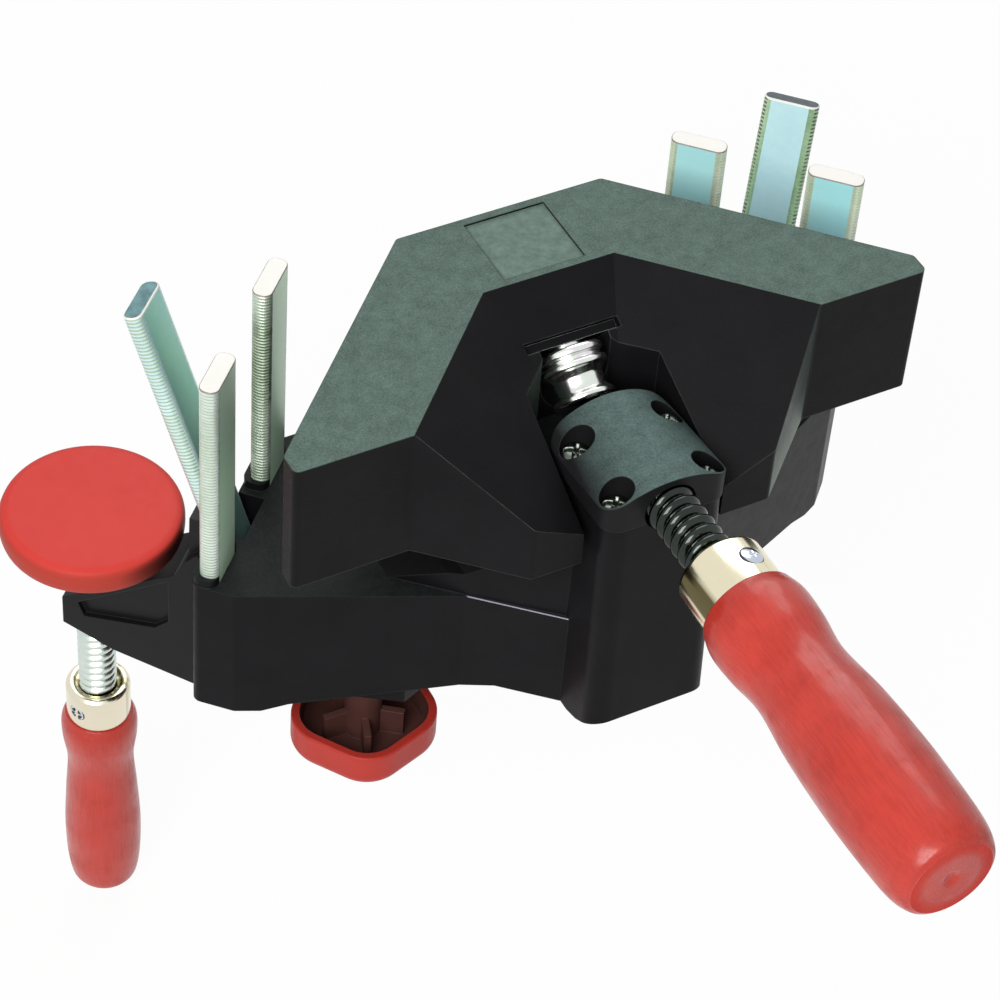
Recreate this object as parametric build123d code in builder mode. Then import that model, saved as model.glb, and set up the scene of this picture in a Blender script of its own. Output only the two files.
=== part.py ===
from build123d import *

import os
from math import cos, radians, sin, sqrt, tan

# Corner clamp for two boards that meet at a right angle. Millimetres throughout.
# The origin is on the symmetry plane, under the rear edge of the jaw, at the level of the base's underside.
# +X is right, +Y points to the back, at the joint's outer corner, and +Z is up.
# Along a wing, s is measured from the origin towards the tip and t outwards, square to the wing.

os.makedirs("parts", exist_ok=True)

# Fits and gaps
press = 0.05
running = 0.06
slide = 0.3

# Stops: flat steel bars, three to a wing, whose inner faces make the stop planes
bar_width = 17.0
bar_thick = 6.0
bar_round = 2.6
bar_t = 52.0
left_bar_s = 71.4
right_bar_s = 67.2
bar_pitch = 21.0
bar_foot = 12.0
bar_top = 126.5
lean = 17.8
lean_length = 100.5
pivot_z = 30.0
pin_radius = 1.5
pin_bite = 1.6
notch_gap = 0.5

# Base: the left wing, which carries the table clamp, is the longer one
wing_top = 49.8
wing_wall = 1.7
left_tip_s = 102.5
right_tip_s = 99.6
wing_tip_t = 43.0
rear_y = 11.3
waist_x = 42.3
waist_y = -69.5
throat_x = 19.6
throat_y = -89.9
outline_radius = 3.0
lift_start_x = 95.6
lift_bend_x = 88.0
lift_bend = 3.0
waist_lift = 11.4
throat_lift = 14.6
throat_lift_x = 34.4
lift_depth = 18.0
lift_depth_at_waist = 15.0
lift_pinch_x = 55.2
lift_pinch_y = -60.0

# Saddle under the jaw and its T-shaped guide rail
ledge = 1.0
saddle_z = 58.0
saddle_shoulder = 46.0
saddle_shoulder_z = 57.0
saddle_foot = 61.0
saddle_foot_y = -51.5
saddle_peak = 82.4
saddle_peak_half = 18.3
board_t = 15.0
rail_neck_half = 9.0
rail_head_half = 14.0
rail_neck_z = 86.0
rail_top = 90.0

# Post, cap and nut
post_half = 19.0
post_foot_half = 19.6
post_front_y = -105.3
post_foot_front_y = -108.6
post_rear_y = -67.5
post_radius = 6.0
post_foot = 15.0
post_foot_front = 21.9
split_z = 98.5
cap_half = 19.8
cap_crown_z = 112.6
cap_rear_edge_z = 102.4
cap_front_edge_z = 106.2
screw_x = 14.4
screw_front_y = -99.6
screw_rear_y = -76.8
screw_sink_radius = 4.8
screw_sink_z = 101.6
screw_radius = 2.0
screw_head_radius = 4.5
screw_head = 3.0
screw_tip = 82.0
nut_radius = 9.0
nut_foot_half = 9.5
nut_foot = 9.5
nut_front_y = -95.0
nut_rear_y = -85.6

# Jaw
jaw_bottom = 82.7
jaw_top = 127.7
jaw_rear_half = 33.4
jaw_side_x = 100.0
jaw_end_y = -73.8
jaw_inner_x = 64.0
jaw_horn_x = 38.3
jaw_horn_y = -97.9
pit_half = 21.1
pit_y = -30.4
pit_slope = 35.9
channel_half = 22.5
flare_half = 21.5
flare_y = -59.0
throat_half = 11.0
flare_end_y = -49.0
badge_half = 13.0
badge_rear_y = -2.5
badge_front_y = -28.0
badge_depth = 0.8

# Cup that joins spindle and jaw, tilted down towards the handle
spindle_z = 102.4
ball_y = -52.5
ball_radius = 5.8
cup_tilt = 36.0
cup_mouth = 5.0
cup_head = 11.0
head_radius = 10.3
plate_front = 12.3
plate_thick = 2.6
plate_half = 14.8
plate_up = 5.4
plate_down = 12.5
plate_gap = 0.35
cup_pin_radius = 5.0

# Main spindle, ferrule and handle
spindle_radius = 7.5
neck_radius = 3.4
thread_start_y = -65.0
ferrule_rear_y = -131.0
ferrule_front_y = -148.2
ferrule_radius = 13.0
ferrule_wall = 1.4
rivet_y = -140.2
rivet_radius = 3.2
rivet_turn = 18.0
tang_radius = 5.0
tang_y = -200.0
handle_end_y = -248.8
handle_radius = 16.6

# Table clamp
bracket_s = 70.0
bracket_half = 10.0
bracket_gap = 0.3
foot_low = 0.4
foot_high = 9.0
foot_t = -2.0
spine_gap = 0.6
tab_half = 7.0
web_sink = 2.0
web_end_t = 100.0
arm_end_t = 107.0
arm_high = 3.0
arm_low = -8.0
screw_t = 100.6
table_radius = 6.0
bush_radius = 7.2
bush_low = -12.4
bush_high = 7.6
pad_top = 35.0
pad_low = 25.5
pad_radius = 28.0
pad_boss_radius = 10.5
pad_boss_low = 19.0
retainer_low = 17.6
table_ball = 5.0
table_ball_z = 24.2
table_neck = 3.2
table_thread_z = 16.0
table_ferrule_top = -43.0
table_ferrule_low = -56.5
table_ferrule_radius = 10.2
table_ferrule_wall = 1.2
table_rivet_z = -50.2
table_rivet_radius = 2.4
table_rivet_turn = 65.0
table_tang_z = -95.0
table_tang_radius = 4.0
table_handle_end = -137.4
table_handle_radius = 12.3

# Hand knob that holds the bracket under the left wing
knob_t = 13.0
knob_rim = -19.0
knob_low = -32.5
knob_floor = 3.0
knob_corner = 26.0
knob_round = 13.0
knob_wall = 2.6
knob_hub = 5.8
knob_rib = 2.2
knob_turn = 251.0
stud_radius = 4.0
stud_low = -28.0
stud_top = 27.0
insert_radius = 6.5
insert_high = 28.0
washer_radius = 9.5
washer_thick = 1.6

diagonal = cos(radians(45))
stop_t = bar_t - bar_thick / 2
wing_t = bar_t + bar_thick / 2 + wing_wall
middle_s = {-1: left_bar_s, 1: right_bar_s}
tip_s = {-1: left_tip_s, 1: right_tip_s}
bar_stations = (("rear", -bar_pitch), ("front", bar_pitch))
axis_y = Axis((0, 0, spindle_z), (0, 1, 0))


def on_wing(t, s, z=0.0, side=1):
    """The point at t outwards and s along a wing; side is 1 for the right wing and -1 for the left."""
    return (side * (t + s) * diagonal, (t - s) * diagonal, z)


def flat(t, s, side=1):
    """The same point in plan."""
    return on_wing(t, s, 0, side)[:2]


def wing_cut(s, side=1):
    """The section plane across a wing at s: its x is t and its y is height."""
    x_dir = (side * diagonal, diagonal, 0)
    z_dir = (diagonal, -side * diagonal, 0)
    return Plane(origin=on_wing(0, s, 0, side), x_dir=x_dir, z_dir=z_dir)


def turned(points, start, end):
    """Points (radius, share of the length) of a turned handle, as points from start to end."""
    return [(radius, start + share * (end - start)) for radius, share in points]


# Plan of the base: two wings at a right angle with a waist towards the post
with BuildSketch() as base_plan:
    for side in (-1, 1):
        with BuildLine():
            Polyline(
                (0, rear_y),
                flat(wing_t, wing_t - rear_y / diagonal, side),
                flat(wing_t, tip_s[side], side),
                flat(wing_tip_t, tip_s[side], side),
                (side * waist_x, waist_y),
                (side * throat_x, throat_y),
                (0, throat_y),
                (0, rear_y),
            )
        make_face()
    tip_corners = base_plan.vertices().filter_by(lambda v: abs(v.X) > waist_x + 1 and v.Y < rear_y - 1)
    fillet(tip_corners, outline_radius)

# Saddle and rail: the plan drawn in by a ledge, cut to a ridged section
with BuildPart() as saddle:
    with BuildSketch(Plane.XY.offset(wing_top - 1)):
        with BuildLine():
            Polyline(
                (0, rear_y - ledge),
                flat(board_t, board_t - (rear_y - ledge) / diagonal),
                flat(board_t, saddle_foot / diagonal - board_t),
                (saddle_foot, saddle_foot_y),
                (waist_x, waist_y + ledge),
                (throat_x - ledge, throat_y + ledge),
                (0, throat_y + ledge),
                (0, rear_y - ledge),
            )
        make_face()
        mirror(about=Plane.YZ)
    extrude(amount=rail_top)
    with BuildSketch(Plane.XZ):
        with BuildLine():
            Polyline(
                (0, wing_top - 1),
                (saddle_foot, wing_top - 1),
                (saddle_shoulder, saddle_shoulder_z),
                (waist_x, saddle_z),
                (saddle_peak_half, saddle_peak),
                (rail_neck_half, saddle_peak),
                (rail_neck_half, rail_neck_z),
                (rail_head_half, rail_neck_z),
                (rail_head_half, rail_top),
                (0, rail_top),
                (0, wing_top - 1),
            )
        make_face()
        mirror(about=Plane.YZ)
    extrude(amount=left_tip_s, both=True, mode=Mode.INTERSECT)

# What is taken off under the front edge: a strip that rises towards the post and clears the table clamp's foot
with BuildPart() as front_lift:
    with BuildSketch(Plane.XY.offset(-1)):
        with BuildLine():
            Polyline(
                (0, throat_y + lift_depth),
                (throat_x - 2, throat_y + lift_depth),
                (waist_x - 1, waist_y + lift_depth_at_waist),
                (lift_pinch_x, lift_pinch_y),
                (lift_start_x, -34),
                (lift_start_x, 2 * throat_y),
                (0, 2 * throat_y),
                (0, throat_y + lift_depth),
            )
        make_face()
        mirror(about=Plane.YZ)
    extrude(amount=throat_lift + 2)
    with BuildSketch(Plane.XZ):
        with BuildLine():
            Polyline(
                (0, -1),
                (lift_start_x, -1),
                (lift_start_x, 0),
                (lift_bend_x, lift_bend),
                (waist_x, waist_lift),
                (throat_lift_x, throat_lift),
                (0, throat_lift),
                (0, -1),
            )
        make_face()
        mirror(about=Plane.YZ)
    extrude(amount=-3 * throat_y, mode=Mode.INTERSECT)

# Post that carries the nut: drawn out a little towards its foot, which slopes up to the front
with BuildPart() as post:
    for level, half, front_y in (
        (post_foot, post_foot_half, post_foot_front_y),
        (split_z, post_half, post_front_y),
    ):
        with BuildSketch(Plane.XY.offset(level)):
            with Locations((0, (post_rear_y + front_y) / 2)):
                RectangleRounded(2 * half, post_rear_y - front_y, post_radius)
    loft()
    with BuildSketch(Plane.YZ):
        with BuildLine():
            Polyline(
                (throat_y - 4, post_foot - 1),
                (throat_y - 4, post_foot),
                (post_front_y + 6, post_foot + 1.5),
                (post_foot_front_y, post_foot_front),
                (post_foot_front_y - 5, post_foot_front),
                (post_foot_front_y - 5, post_foot - 1),
                (throat_y - 4, post_foot - 1),
            )
        make_face()
    extrude(amount=2 * post_half, both=True, mode=Mode.SUBTRACT)

# Base moulding
notch_half = bar_width / 2 + notch_gap
half_room = bar_thick / 2 + notch_gap
sill_t = bar_t + half_room / cos(radians(lean))
with BuildPart() as base_body:
    add(base_plan.sketch)
    extrude(amount=wing_top)
    add(front_lift.part, mode=Mode.SUBTRACT)
    add(saddle.part)
    add(post.part)
    for side in (-1, 1):
        bar_s = middle_s[side]
        for place, station in bar_stations:
            with BuildSketch(Plane.XY.offset(wing_top - 1)):
                seat_at = on_wing((stop_t + wing_t) / 2, bar_s + station, 0, side)
                with Locations(Location(seat_at, (0, 0, -side * 45))):
                    RectangleRounded(bar_width + 2.6, wing_t - stop_t, 3.0)
            extrude(amount=4.0)
        for place, station in bar_stations:
            with BuildSketch(Plane.XY.offset(bar_foot)):
                with Locations(Location(on_wing(bar_t, bar_s + station, 0, side), (0, 0, -side * 45))):
                    RectangleRounded(bar_width + 2 * press, bar_thick + 2 * press, bar_round + press)
            extrude(amount=wing_top, mode=Mode.SUBTRACT)
        with BuildSketch(wing_cut(bar_s - side * notch_half, side)):
            with BuildLine():
                Polyline(
                    (bar_t - half_room, pivot_z),
                    (bar_t - half_room, wing_top + 9),
                    (wing_t + 3, wing_top + 9),
                    (wing_t + 3, pivot_z + (wing_t + 3 - sill_t) / tan(radians(lean))),
                    (sill_t, pivot_z),
                    (bar_t - half_room, pivot_z),
                )
            make_face()
            with Locations((bar_t, pivot_z)):
                Circle(half_room)
        extrude(amount=2 * notch_half, mode=Mode.SUBTRACT)
        with BuildSketch(wing_cut(bar_s - side * (notch_half + pin_bite), side)):
            with Locations((bar_t, pivot_z)):
                Circle(pin_radius + press)
        extrude(amount=2 * (notch_half + pin_bite), mode=Mode.SUBTRACT)
    with BuildSketch():
        with Locations(Location(on_wing((foot_t + wing_t) / 2, bracket_s, 0, -1), (0, 0, -45))):
            Rectangle(wing_t - foot_t + 2 * bracket_gap, 2 * (bracket_half + bracket_gap))
    extrude(amount=foot_high + bracket_gap, mode=Mode.SUBTRACT)
    with BuildSketch():
        with Locations(flat(knob_t, bracket_s, -1)):
            Circle(insert_radius + press)
    extrude(amount=insert_high + press, mode=Mode.SUBTRACT)
    with BuildSketch(Plane.XZ.offset(-post_rear_y - 1)):
        with Locations((0, spindle_z)):
            Circle(spindle_radius + 0.5)
    extrude(amount=post_rear_y - post_front_y + 2, mode=Mode.SUBTRACT)
    with BuildSketch(Plane.XZ.offset(-nut_rear_y)):
        with Locations((0, spindle_z)):
            Circle(nut_radius + press)
        with Locations((0, spindle_z - nut_foot / 2)):
            Rectangle(2 * (nut_foot_half + press), nut_foot + 2 * press)
    extrude(amount=nut_rear_y - nut_front_y, mode=Mode.SUBTRACT)
    with BuildSketch(Plane.XY.offset(screw_tip - 1)):
        with Locations((0, (screw_front_y + screw_rear_y) / 2)):
            with GridLocations(2 * screw_x, screw_rear_y - screw_front_y, 2, 2):
                Circle(screw_radius + press)
    extrude(amount=split_z, mode=Mode.SUBTRACT)
base_body.part.label = "base_body"
export_step(base_body.part, "parts/base_body.step")

# Top of the cap: arched across, more at the rear than at the front, under a level crown
with BuildPart() as cap_arch:
    for level_y, edge_z in ((post_rear_y + 1, cap_rear_edge_z), (post_front_y - 1, cap_front_edge_z)):
        drop = cap_crown_z - edge_z
        arch_radius = (cap_half**2 + drop**2) / (2 * drop)
        arch_half = cap_half + 1.5
        arch_z = cap_crown_z - arch_radius + sqrt(arch_radius**2 - arch_half**2)
        with BuildSketch(Plane.XZ.offset(-level_y)):
            with BuildLine():
                Polyline(
                    (-arch_half, arch_z),
                    (-arch_half, split_z - 5),
                    (arch_half, split_z - 5),
                    (arch_half, arch_z),
                )
                ThreePointArc((arch_half, arch_z), (0, cap_crown_z), (-arch_half, arch_z))
            make_face()
    loft()

# Cap over the spindle nut
with BuildPart() as bearing_cap:
    with BuildSketch(Plane.XY.offset(split_z)):
        with Locations((0, (post_rear_y + post_front_y) / 2)):
            RectangleRounded(2 * cap_half, post_rear_y - post_front_y, post_radius)
    extrude(amount=cap_crown_z - split_z + 5)
    add(cap_arch.part, mode=Mode.INTERSECT)
    with BuildSketch(Plane.XZ.offset(-nut_rear_y)):
        with Locations((0, spindle_z)):
            Circle(nut_radius + press)
        with Locations((0, spindle_z - nut_foot / 2)):
            Rectangle(2 * (nut_foot_half + press), nut_foot + 2 * press)
    extrude(amount=nut_rear_y - nut_front_y, mode=Mode.SUBTRACT)
    with BuildSketch(Plane.XZ.offset(-post_rear_y - 1)):
        with Locations((0, spindle_z)):
            Circle(spindle_radius + 0.5)
    extrude(amount=post_rear_y - post_front_y + 2, mode=Mode.SUBTRACT)
    for radius, low in ((screw_radius + press, split_z - 1), (screw_sink_radius, screw_sink_z)):
        with BuildSketch(Plane.XY.offset(low)):
            with Locations((0, (screw_front_y + screw_rear_y) / 2)):
                with GridLocations(2 * screw_x, screw_rear_y - screw_front_y, 2, 2):
                    Circle(radius)
        extrude(amount=cap_crown_z, mode=Mode.SUBTRACT)
bearing_cap.part.label = "bearing_cap"
export_step(bearing_cap.part, "parts/bearing_cap.step")

# Four screws that hold the cap down; their cross recesses are shallow slots
with BuildPart() as cap_screws:
    for radius, low, high in (
        (screw_radius, screw_tip, screw_sink_z),
        (screw_head_radius, screw_sink_z, screw_sink_z + screw_head),
    ):
        with BuildSketch(Plane.XY.offset(low)):
            with Locations((0, (screw_front_y + screw_rear_y) / 2)):
                with GridLocations(2 * screw_x, screw_rear_y - screw_front_y, 2, 2):
                    Circle(radius)
        extrude(amount=high - low)
    fillet(cap_screws.edges().group_by(Axis.Z)[-1], 1.0)
    with BuildSketch(Plane.XY.offset(screw_sink_z + screw_head)):
        with Locations((0, (screw_front_y + screw_rear_y) / 2)):
            with GridLocations(2 * screw_x, screw_rear_y - screw_front_y, 2, 2):
                Rectangle(1.2 * screw_head_radius, 1.0)
                Rectangle(1.0, 1.2 * screw_head_radius)
    extrude(amount=-0.6 * screw_head, mode=Mode.SUBTRACT)
cap_screws.part.label = "cap_screws"
export_step(cap_screws.part, "parts/cap_screws.step")

# Nut of the main spindle, held between post and cap: round above, and square below so that it can't turn
with BuildPart() as spindle_nut:
    with BuildSketch(Plane.XZ.offset(-nut_rear_y + press)):
        with Locations((0, spindle_z - nut_foot / 2)):
            Rectangle(2 * nut_foot_half, nut_foot)
        with Locations((0, spindle_z)):
            Circle(nut_radius)
            Circle(spindle_radius + running, mode=Mode.SUBTRACT)
    extrude(amount=nut_rear_y - nut_front_y - 2 * press)
    chamfer(spindle_nut.edges().filter_by(Axis.Y).group_by(Axis.Z)[0], 0.8)
spindle_nut.part.label = "spindle_nut"
export_step(spindle_nut.part, "parts/spindle_nut.step")

# Four upright stops seated in the wings, and two middle stops that lean outwards about a pin
for side, wing in ((-1, "left"), (1, "right")):
    bar_s = middle_s[side]
    for place, station in bar_stations:
        with BuildPart() as upright_stop:
            with BuildSketch(Plane.XY.offset(bar_foot)):
                with Locations(Location(on_wing(bar_t, bar_s + station, 0, side), (0, 0, -side * 45))):
                    RectangleRounded(bar_width, bar_thick, bar_round)
            extrude(amount=bar_top - bar_foot)
            chamfer(upright_stop.edges().group_by(Axis.Z)[-1], 0.6)
        upright_stop.part.label = f"{wing}_{place}_stop"
        export_step(upright_stop.part, f"parts/{wing}_{place}_stop.step")
    with BuildPart() as middle_stop:
        tilt_out = sin(radians(lean)) * diagonal
        lean_dir = (side * tilt_out, tilt_out, cos(radians(lean)))
        pivot = on_wing(bar_t, bar_s, pivot_z, side)
        with BuildSketch(Plane(origin=pivot, x_dir=(diagonal, -side * diagonal, 0), z_dir=lean_dir)):
            RectangleRounded(bar_width, bar_thick, bar_round)
        extrude(amount=lean_length)
        top_edges = middle_stop.edges().group_by(Axis(pivot, lean_dir))[-1]
        chamfer(top_edges, 0.6)
        with BuildSketch(wing_cut(bar_s - side * bar_width / 2, side)):
            with Locations((bar_t, pivot_z)):
                Circle(bar_thick / 2)
        extrude(amount=bar_width)
        with BuildSketch(wing_cut(bar_s - side * bar_width / 2, side)):
            with Locations((bar_t, pivot_z)):
                Circle(pin_radius + running)
        extrude(amount=bar_width, mode=Mode.SUBTRACT)
    middle_stop.part.label = f"{wing}_middle_stop"
    export_step(middle_stop.part, f"parts/{wing}_middle_stop.step")
    with BuildPart() as pivot_pin:
        with BuildSketch(wing_cut(bar_s - side * (notch_half + pin_bite - press), side)):
            with Locations((bar_t, pivot_z)):
                Circle(pin_radius)
        extrude(amount=2 * (notch_half + pin_bite - press))
    pivot_pin.part.label = f"{wing}_pivot_pin"
    export_step(pivot_pin.part, f"parts/{wing}_pivot_pin.step")

# Hollow in the jaw's top: three slopes that fall inwards from the arms and from the rear
with BuildPart() as pit:
    with BuildSketch(Plane.XY.offset(jaw_bottom - 40)):
        with BuildLine():
            Polyline(
                (0, pit_y),
                (pit_half, pit_y),
                (pit_half + 90, pit_y - 90),
                (0, pit_y - 90),
                (0, pit_y),
            )
        make_face()
        mirror(about=Plane.YZ)
    extrude(amount=jaw_top - jaw_bottom + 41)
    fall = sin(radians(pit_slope))
    lie = cos(radians(pit_slope))
    for side in (-1, 1):
        flank = Plane(
            origin=(side * pit_half, pit_y, jaw_top),
            x_dir=(side, -1, 0),
            z_dir=(-side * fall * diagonal, -fall * diagonal, lie),
        )
        split(bisect_by=flank, keep=Keep.TOP)
    rear_slope = Plane(origin=(0, pit_y, jaw_top), x_dir=(1, 0, 0), z_dir=(0, -fall, lie))
    split(bisect_by=rear_slope, keep=Keep.TOP)

ball = (0, ball_y, spindle_z)
cup_dir = (0, -cos(radians(cup_tilt)), -sin(radians(cup_tilt)))
cup_up = (0, -sin(radians(cup_tilt)), cos(radians(cup_tilt)))
# Across the cup: this plane's x is X, its y is up square to the cup's axis, and it faces the handle
cup_cut = Plane(origin=ball, x_dir=(1, 0, 0), z_dir=cup_dir)
# Along the cup: this plane's x is the radius and its y runs from the mouth to the head
cup_side = Plane(origin=ball, x_dir=(1, 0, 0), z_dir=cup_up)

# Jaw: a wedge that presses both boards outwards against the stops
with BuildPart() as clamping_jaw:
    with BuildSketch(Plane.XY.offset(jaw_bottom)) as jaw_plan:
        with BuildLine():
            Polyline(
                (0, 0),
                (jaw_rear_half, 0),
                (jaw_side_x, jaw_rear_half - jaw_side_x),
                (jaw_side_x, jaw_end_y),
                (jaw_inner_x, jaw_end_y),
                (jaw_horn_x, jaw_horn_y),
                (channel_half, jaw_horn_y),
                (flare_half, flare_y),
                (throat_half, flare_end_y),
                (0, flare_end_y),
                (0, 0),
            )
        make_face()
        fillet(jaw_plan.vertices().filter_by(lambda v: abs(v.X) > jaw_rear_half - 1), 2.0)
        mirror(about=Plane.YZ)
    extrude(amount=jaw_top - jaw_bottom)
    add(pit.part, mode=Mode.SUBTRACT)
    with BuildSketch(Plane.XZ.offset(-1)):
        with Locations((0, (jaw_bottom + rail_neck_z) / 2)):
            Rectangle(2 * (rail_neck_half + slide), rail_neck_z - jaw_bottom + 2)
        with Locations((0, (rail_neck_z + rail_top) / 2)):
            Rectangle(2 * (rail_head_half + slide), rail_top - rail_neck_z + 2 * slide)
    extrude(amount=-flare_end_y + 8, mode=Mode.SUBTRACT)
    with BuildSketch(cup_cut.offset(-plate_front + slide)):
        Circle(throat_half)
        with Locations((0, 2 * throat_half)):
            Rectangle(2 * throat_half, 4 * throat_half)
    extrude(amount=plate_front + cup_mouth + 8, mode=Mode.SUBTRACT)
    with BuildSketch(cup_cut.offset(-plate_front + slide)):
        with Locations((0, 15 - plate_down - plate_gap)):
            Rectangle(2 * (plate_half + plate_gap), 30)
    extrude(amount=-plate_thick - 2 * slide, mode=Mode.SUBTRACT)
    with BuildSketch(Plane.XY.offset(jaw_top)):
        with Locations((0, (badge_rear_y + badge_front_y) / 2)):
            Rectangle(2 * badge_half, badge_rear_y - badge_front_y)
    extrude(amount=-badge_depth, mode=Mode.SUBTRACT)
clamping_jaw.part.label = "clamping_jaw"
export_step(clamping_jaw.part, "parts/clamping_jaw.step")

# Swivel cup: socket for the ball, ringed head, and the pin that holds the plate
with BuildPart() as swivel_cup:
    with BuildSketch(cup_side):
        socket = ball_radius + running
        lip = 1.5
        with BuildLine():
            Polyline(
                (sqrt(socket**2 - lip**2), -lip),
                (8.4, -cup_mouth),
                (9.3, -cup_mouth),
                (9.3, -cup_mouth + 1.2),
                (8.2, -cup_mouth + 2.6),
                (8.2, 3.4),
                (9.4, 4.8),
                (head_radius, 5.4),
                (head_radius, 6.8),
                (9.3, 7.4),
                (9.3, 8.0),
                (head_radius, 8.6),
                (head_radius, cup_head - 0.8),
                (head_radius - 0.8, cup_head),
                (cup_pin_radius, cup_head),
                (cup_pin_radius, plate_front + plate_thick),
                (0, plate_front + plate_thick),
                (0, socket),
            )
            ThreePointArc(
                (0, socket),
                (socket * diagonal, socket * diagonal),
                (sqrt(socket**2 - lip**2), -lip),
            )
        make_face()
    revolve(axis=Axis(ball, cup_dir))
swivel_cup.part.label = "swivel_cup"
export_step(swivel_cup.part, "parts/swivel_cup.step")

# Plate behind the cup's head, which drops into the wide part of the jaw's slot
with BuildPart() as cup_plate:
    with BuildSketch(cup_cut.offset(-plate_front - plate_thick)):
        with Locations((0, (plate_up - plate_down) / 2)):
            Rectangle(2 * plate_half, plate_up + plate_down)
        Circle(cup_pin_radius + press, mode=Mode.SUBTRACT)
    extrude(amount=plate_thick)
cup_plate.part.label = "cup_plate"
export_step(cup_plate.part, "parts/cup_plate.step")

# Main spindle: ball, neck, thread at its crest diameter, and the tang inside the handle
rivet_cut = Plane(
    origin=(0, rivet_y, spindle_z),
    x_dir=(0, 1, 0),
    z_dir=(sin(radians(rivet_turn)), 0, cos(radians(rivet_turn))),
)
with BuildPart() as main_spindle:
    with BuildSketch(Plane.XY.offset(spindle_z)):
        neck_y = ball_y - sqrt(ball_radius**2 - neck_radius**2)
        with BuildLine():
            ThreePointArc((0, ball_y + ball_radius), (ball_radius, ball_y), (neck_radius, neck_y))
            Polyline(
                (neck_radius, neck_y),
                (neck_radius, thread_start_y + 1.5),
                (spindle_radius - 1.6, thread_start_y),
                (spindle_radius, thread_start_y - 1.6),
                (spindle_radius, ferrule_rear_y - ferrule_wall),
                (tang_radius, ferrule_rear_y - ferrule_wall),
                (tang_radius, tang_y),
                (0, tang_y),
                (0, ball_y + ball_radius),
            )
        make_face()
    revolve(axis=axis_y)
    with BuildSketch(rivet_cut):
        Circle(rivet_radius + press)
    extrude(amount=2 * ferrule_radius, both=True, mode=Mode.SUBTRACT)
main_spindle.part.label = "main_spindle"
export_step(main_spindle.part, "parts/main_spindle.step")

with BuildPart() as main_ferrule:
    with BuildSketch(Plane.XY.offset(spindle_z)):
        with BuildLine():
            Polyline(
                (spindle_radius + press, ferrule_rear_y),
                (ferrule_radius - 1.4, ferrule_rear_y),
                (ferrule_radius, ferrule_rear_y - 1.4),
                (ferrule_radius, ferrule_front_y),
                (ferrule_radius - ferrule_wall, ferrule_front_y),
                (ferrule_radius - ferrule_wall, ferrule_rear_y - ferrule_wall),
                (spindle_radius + press, ferrule_rear_y - ferrule_wall),
                (spindle_radius + press, ferrule_rear_y),
            )
        make_face()
    revolve(axis=axis_y)
    with BuildSketch(rivet_cut):
        Circle(rivet_radius + press)
    extrude(amount=2 * ferrule_radius, both=True, mode=Mode.SUBTRACT)
main_ferrule.part.label = "main_ferrule"
export_step(main_ferrule.part, "parts/main_ferrule.step")

with BuildPart() as main_rivet:
    with BuildSketch(rivet_cut):
        Circle(rivet_radius)
    extrude(amount=ferrule_radius + 0.5, both=True)
    fillet(main_rivet.edges().filter_by(GeomType.CIRCLE), 0.5)
main_rivet.part.label = "main_rivet"
export_step(main_rivet.part, "parts/main_rivet.step")

# Turned handle: collar, neck, barrel and rounded end with a lathe-centre dimple
with BuildPart() as main_handle:
    outline = turned(
        (
            (14.4, 0.0),
            (15.6, 0.06),
            (15.2, 0.15),
            (14.0, 0.27),
            (15.8, 0.45),
            (handle_radius, 0.66),
            (handle_radius - 0.3, 0.84),
            (handle_radius - 1.6, 0.95),
            (handle_radius - 4.6, 1.0),
        ),
        ferrule_front_y - press,
        handle_end_y,
    )
    plug = ferrule_radius - ferrule_wall - press
    with BuildSketch(Plane.XY.offset(spindle_z)):
        with BuildLine():
            Spline(outline)
            Polyline(
                outline[-1],
                (2.4, handle_end_y),
                (1.6, handle_end_y + 0.8),
                (0, handle_end_y + 1.2),
                (0, tang_y - press),
                (tang_radius + press, tang_y - press),
                (tang_radius + press, ferrule_rear_y - ferrule_wall - press),
                (plug, ferrule_rear_y - ferrule_wall - press),
                (plug, ferrule_front_y - press),
                outline[0],
            )
        make_face()
    revolve(axis=axis_y)
    with BuildSketch(rivet_cut):
        Circle(rivet_radius + press)
    extrude(amount=2 * ferrule_radius, both=True, mode=Mode.SUBTRACT)
main_handle.part.label = "main_handle"
export_step(main_handle.part, "parts/main_handle.step")

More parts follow.
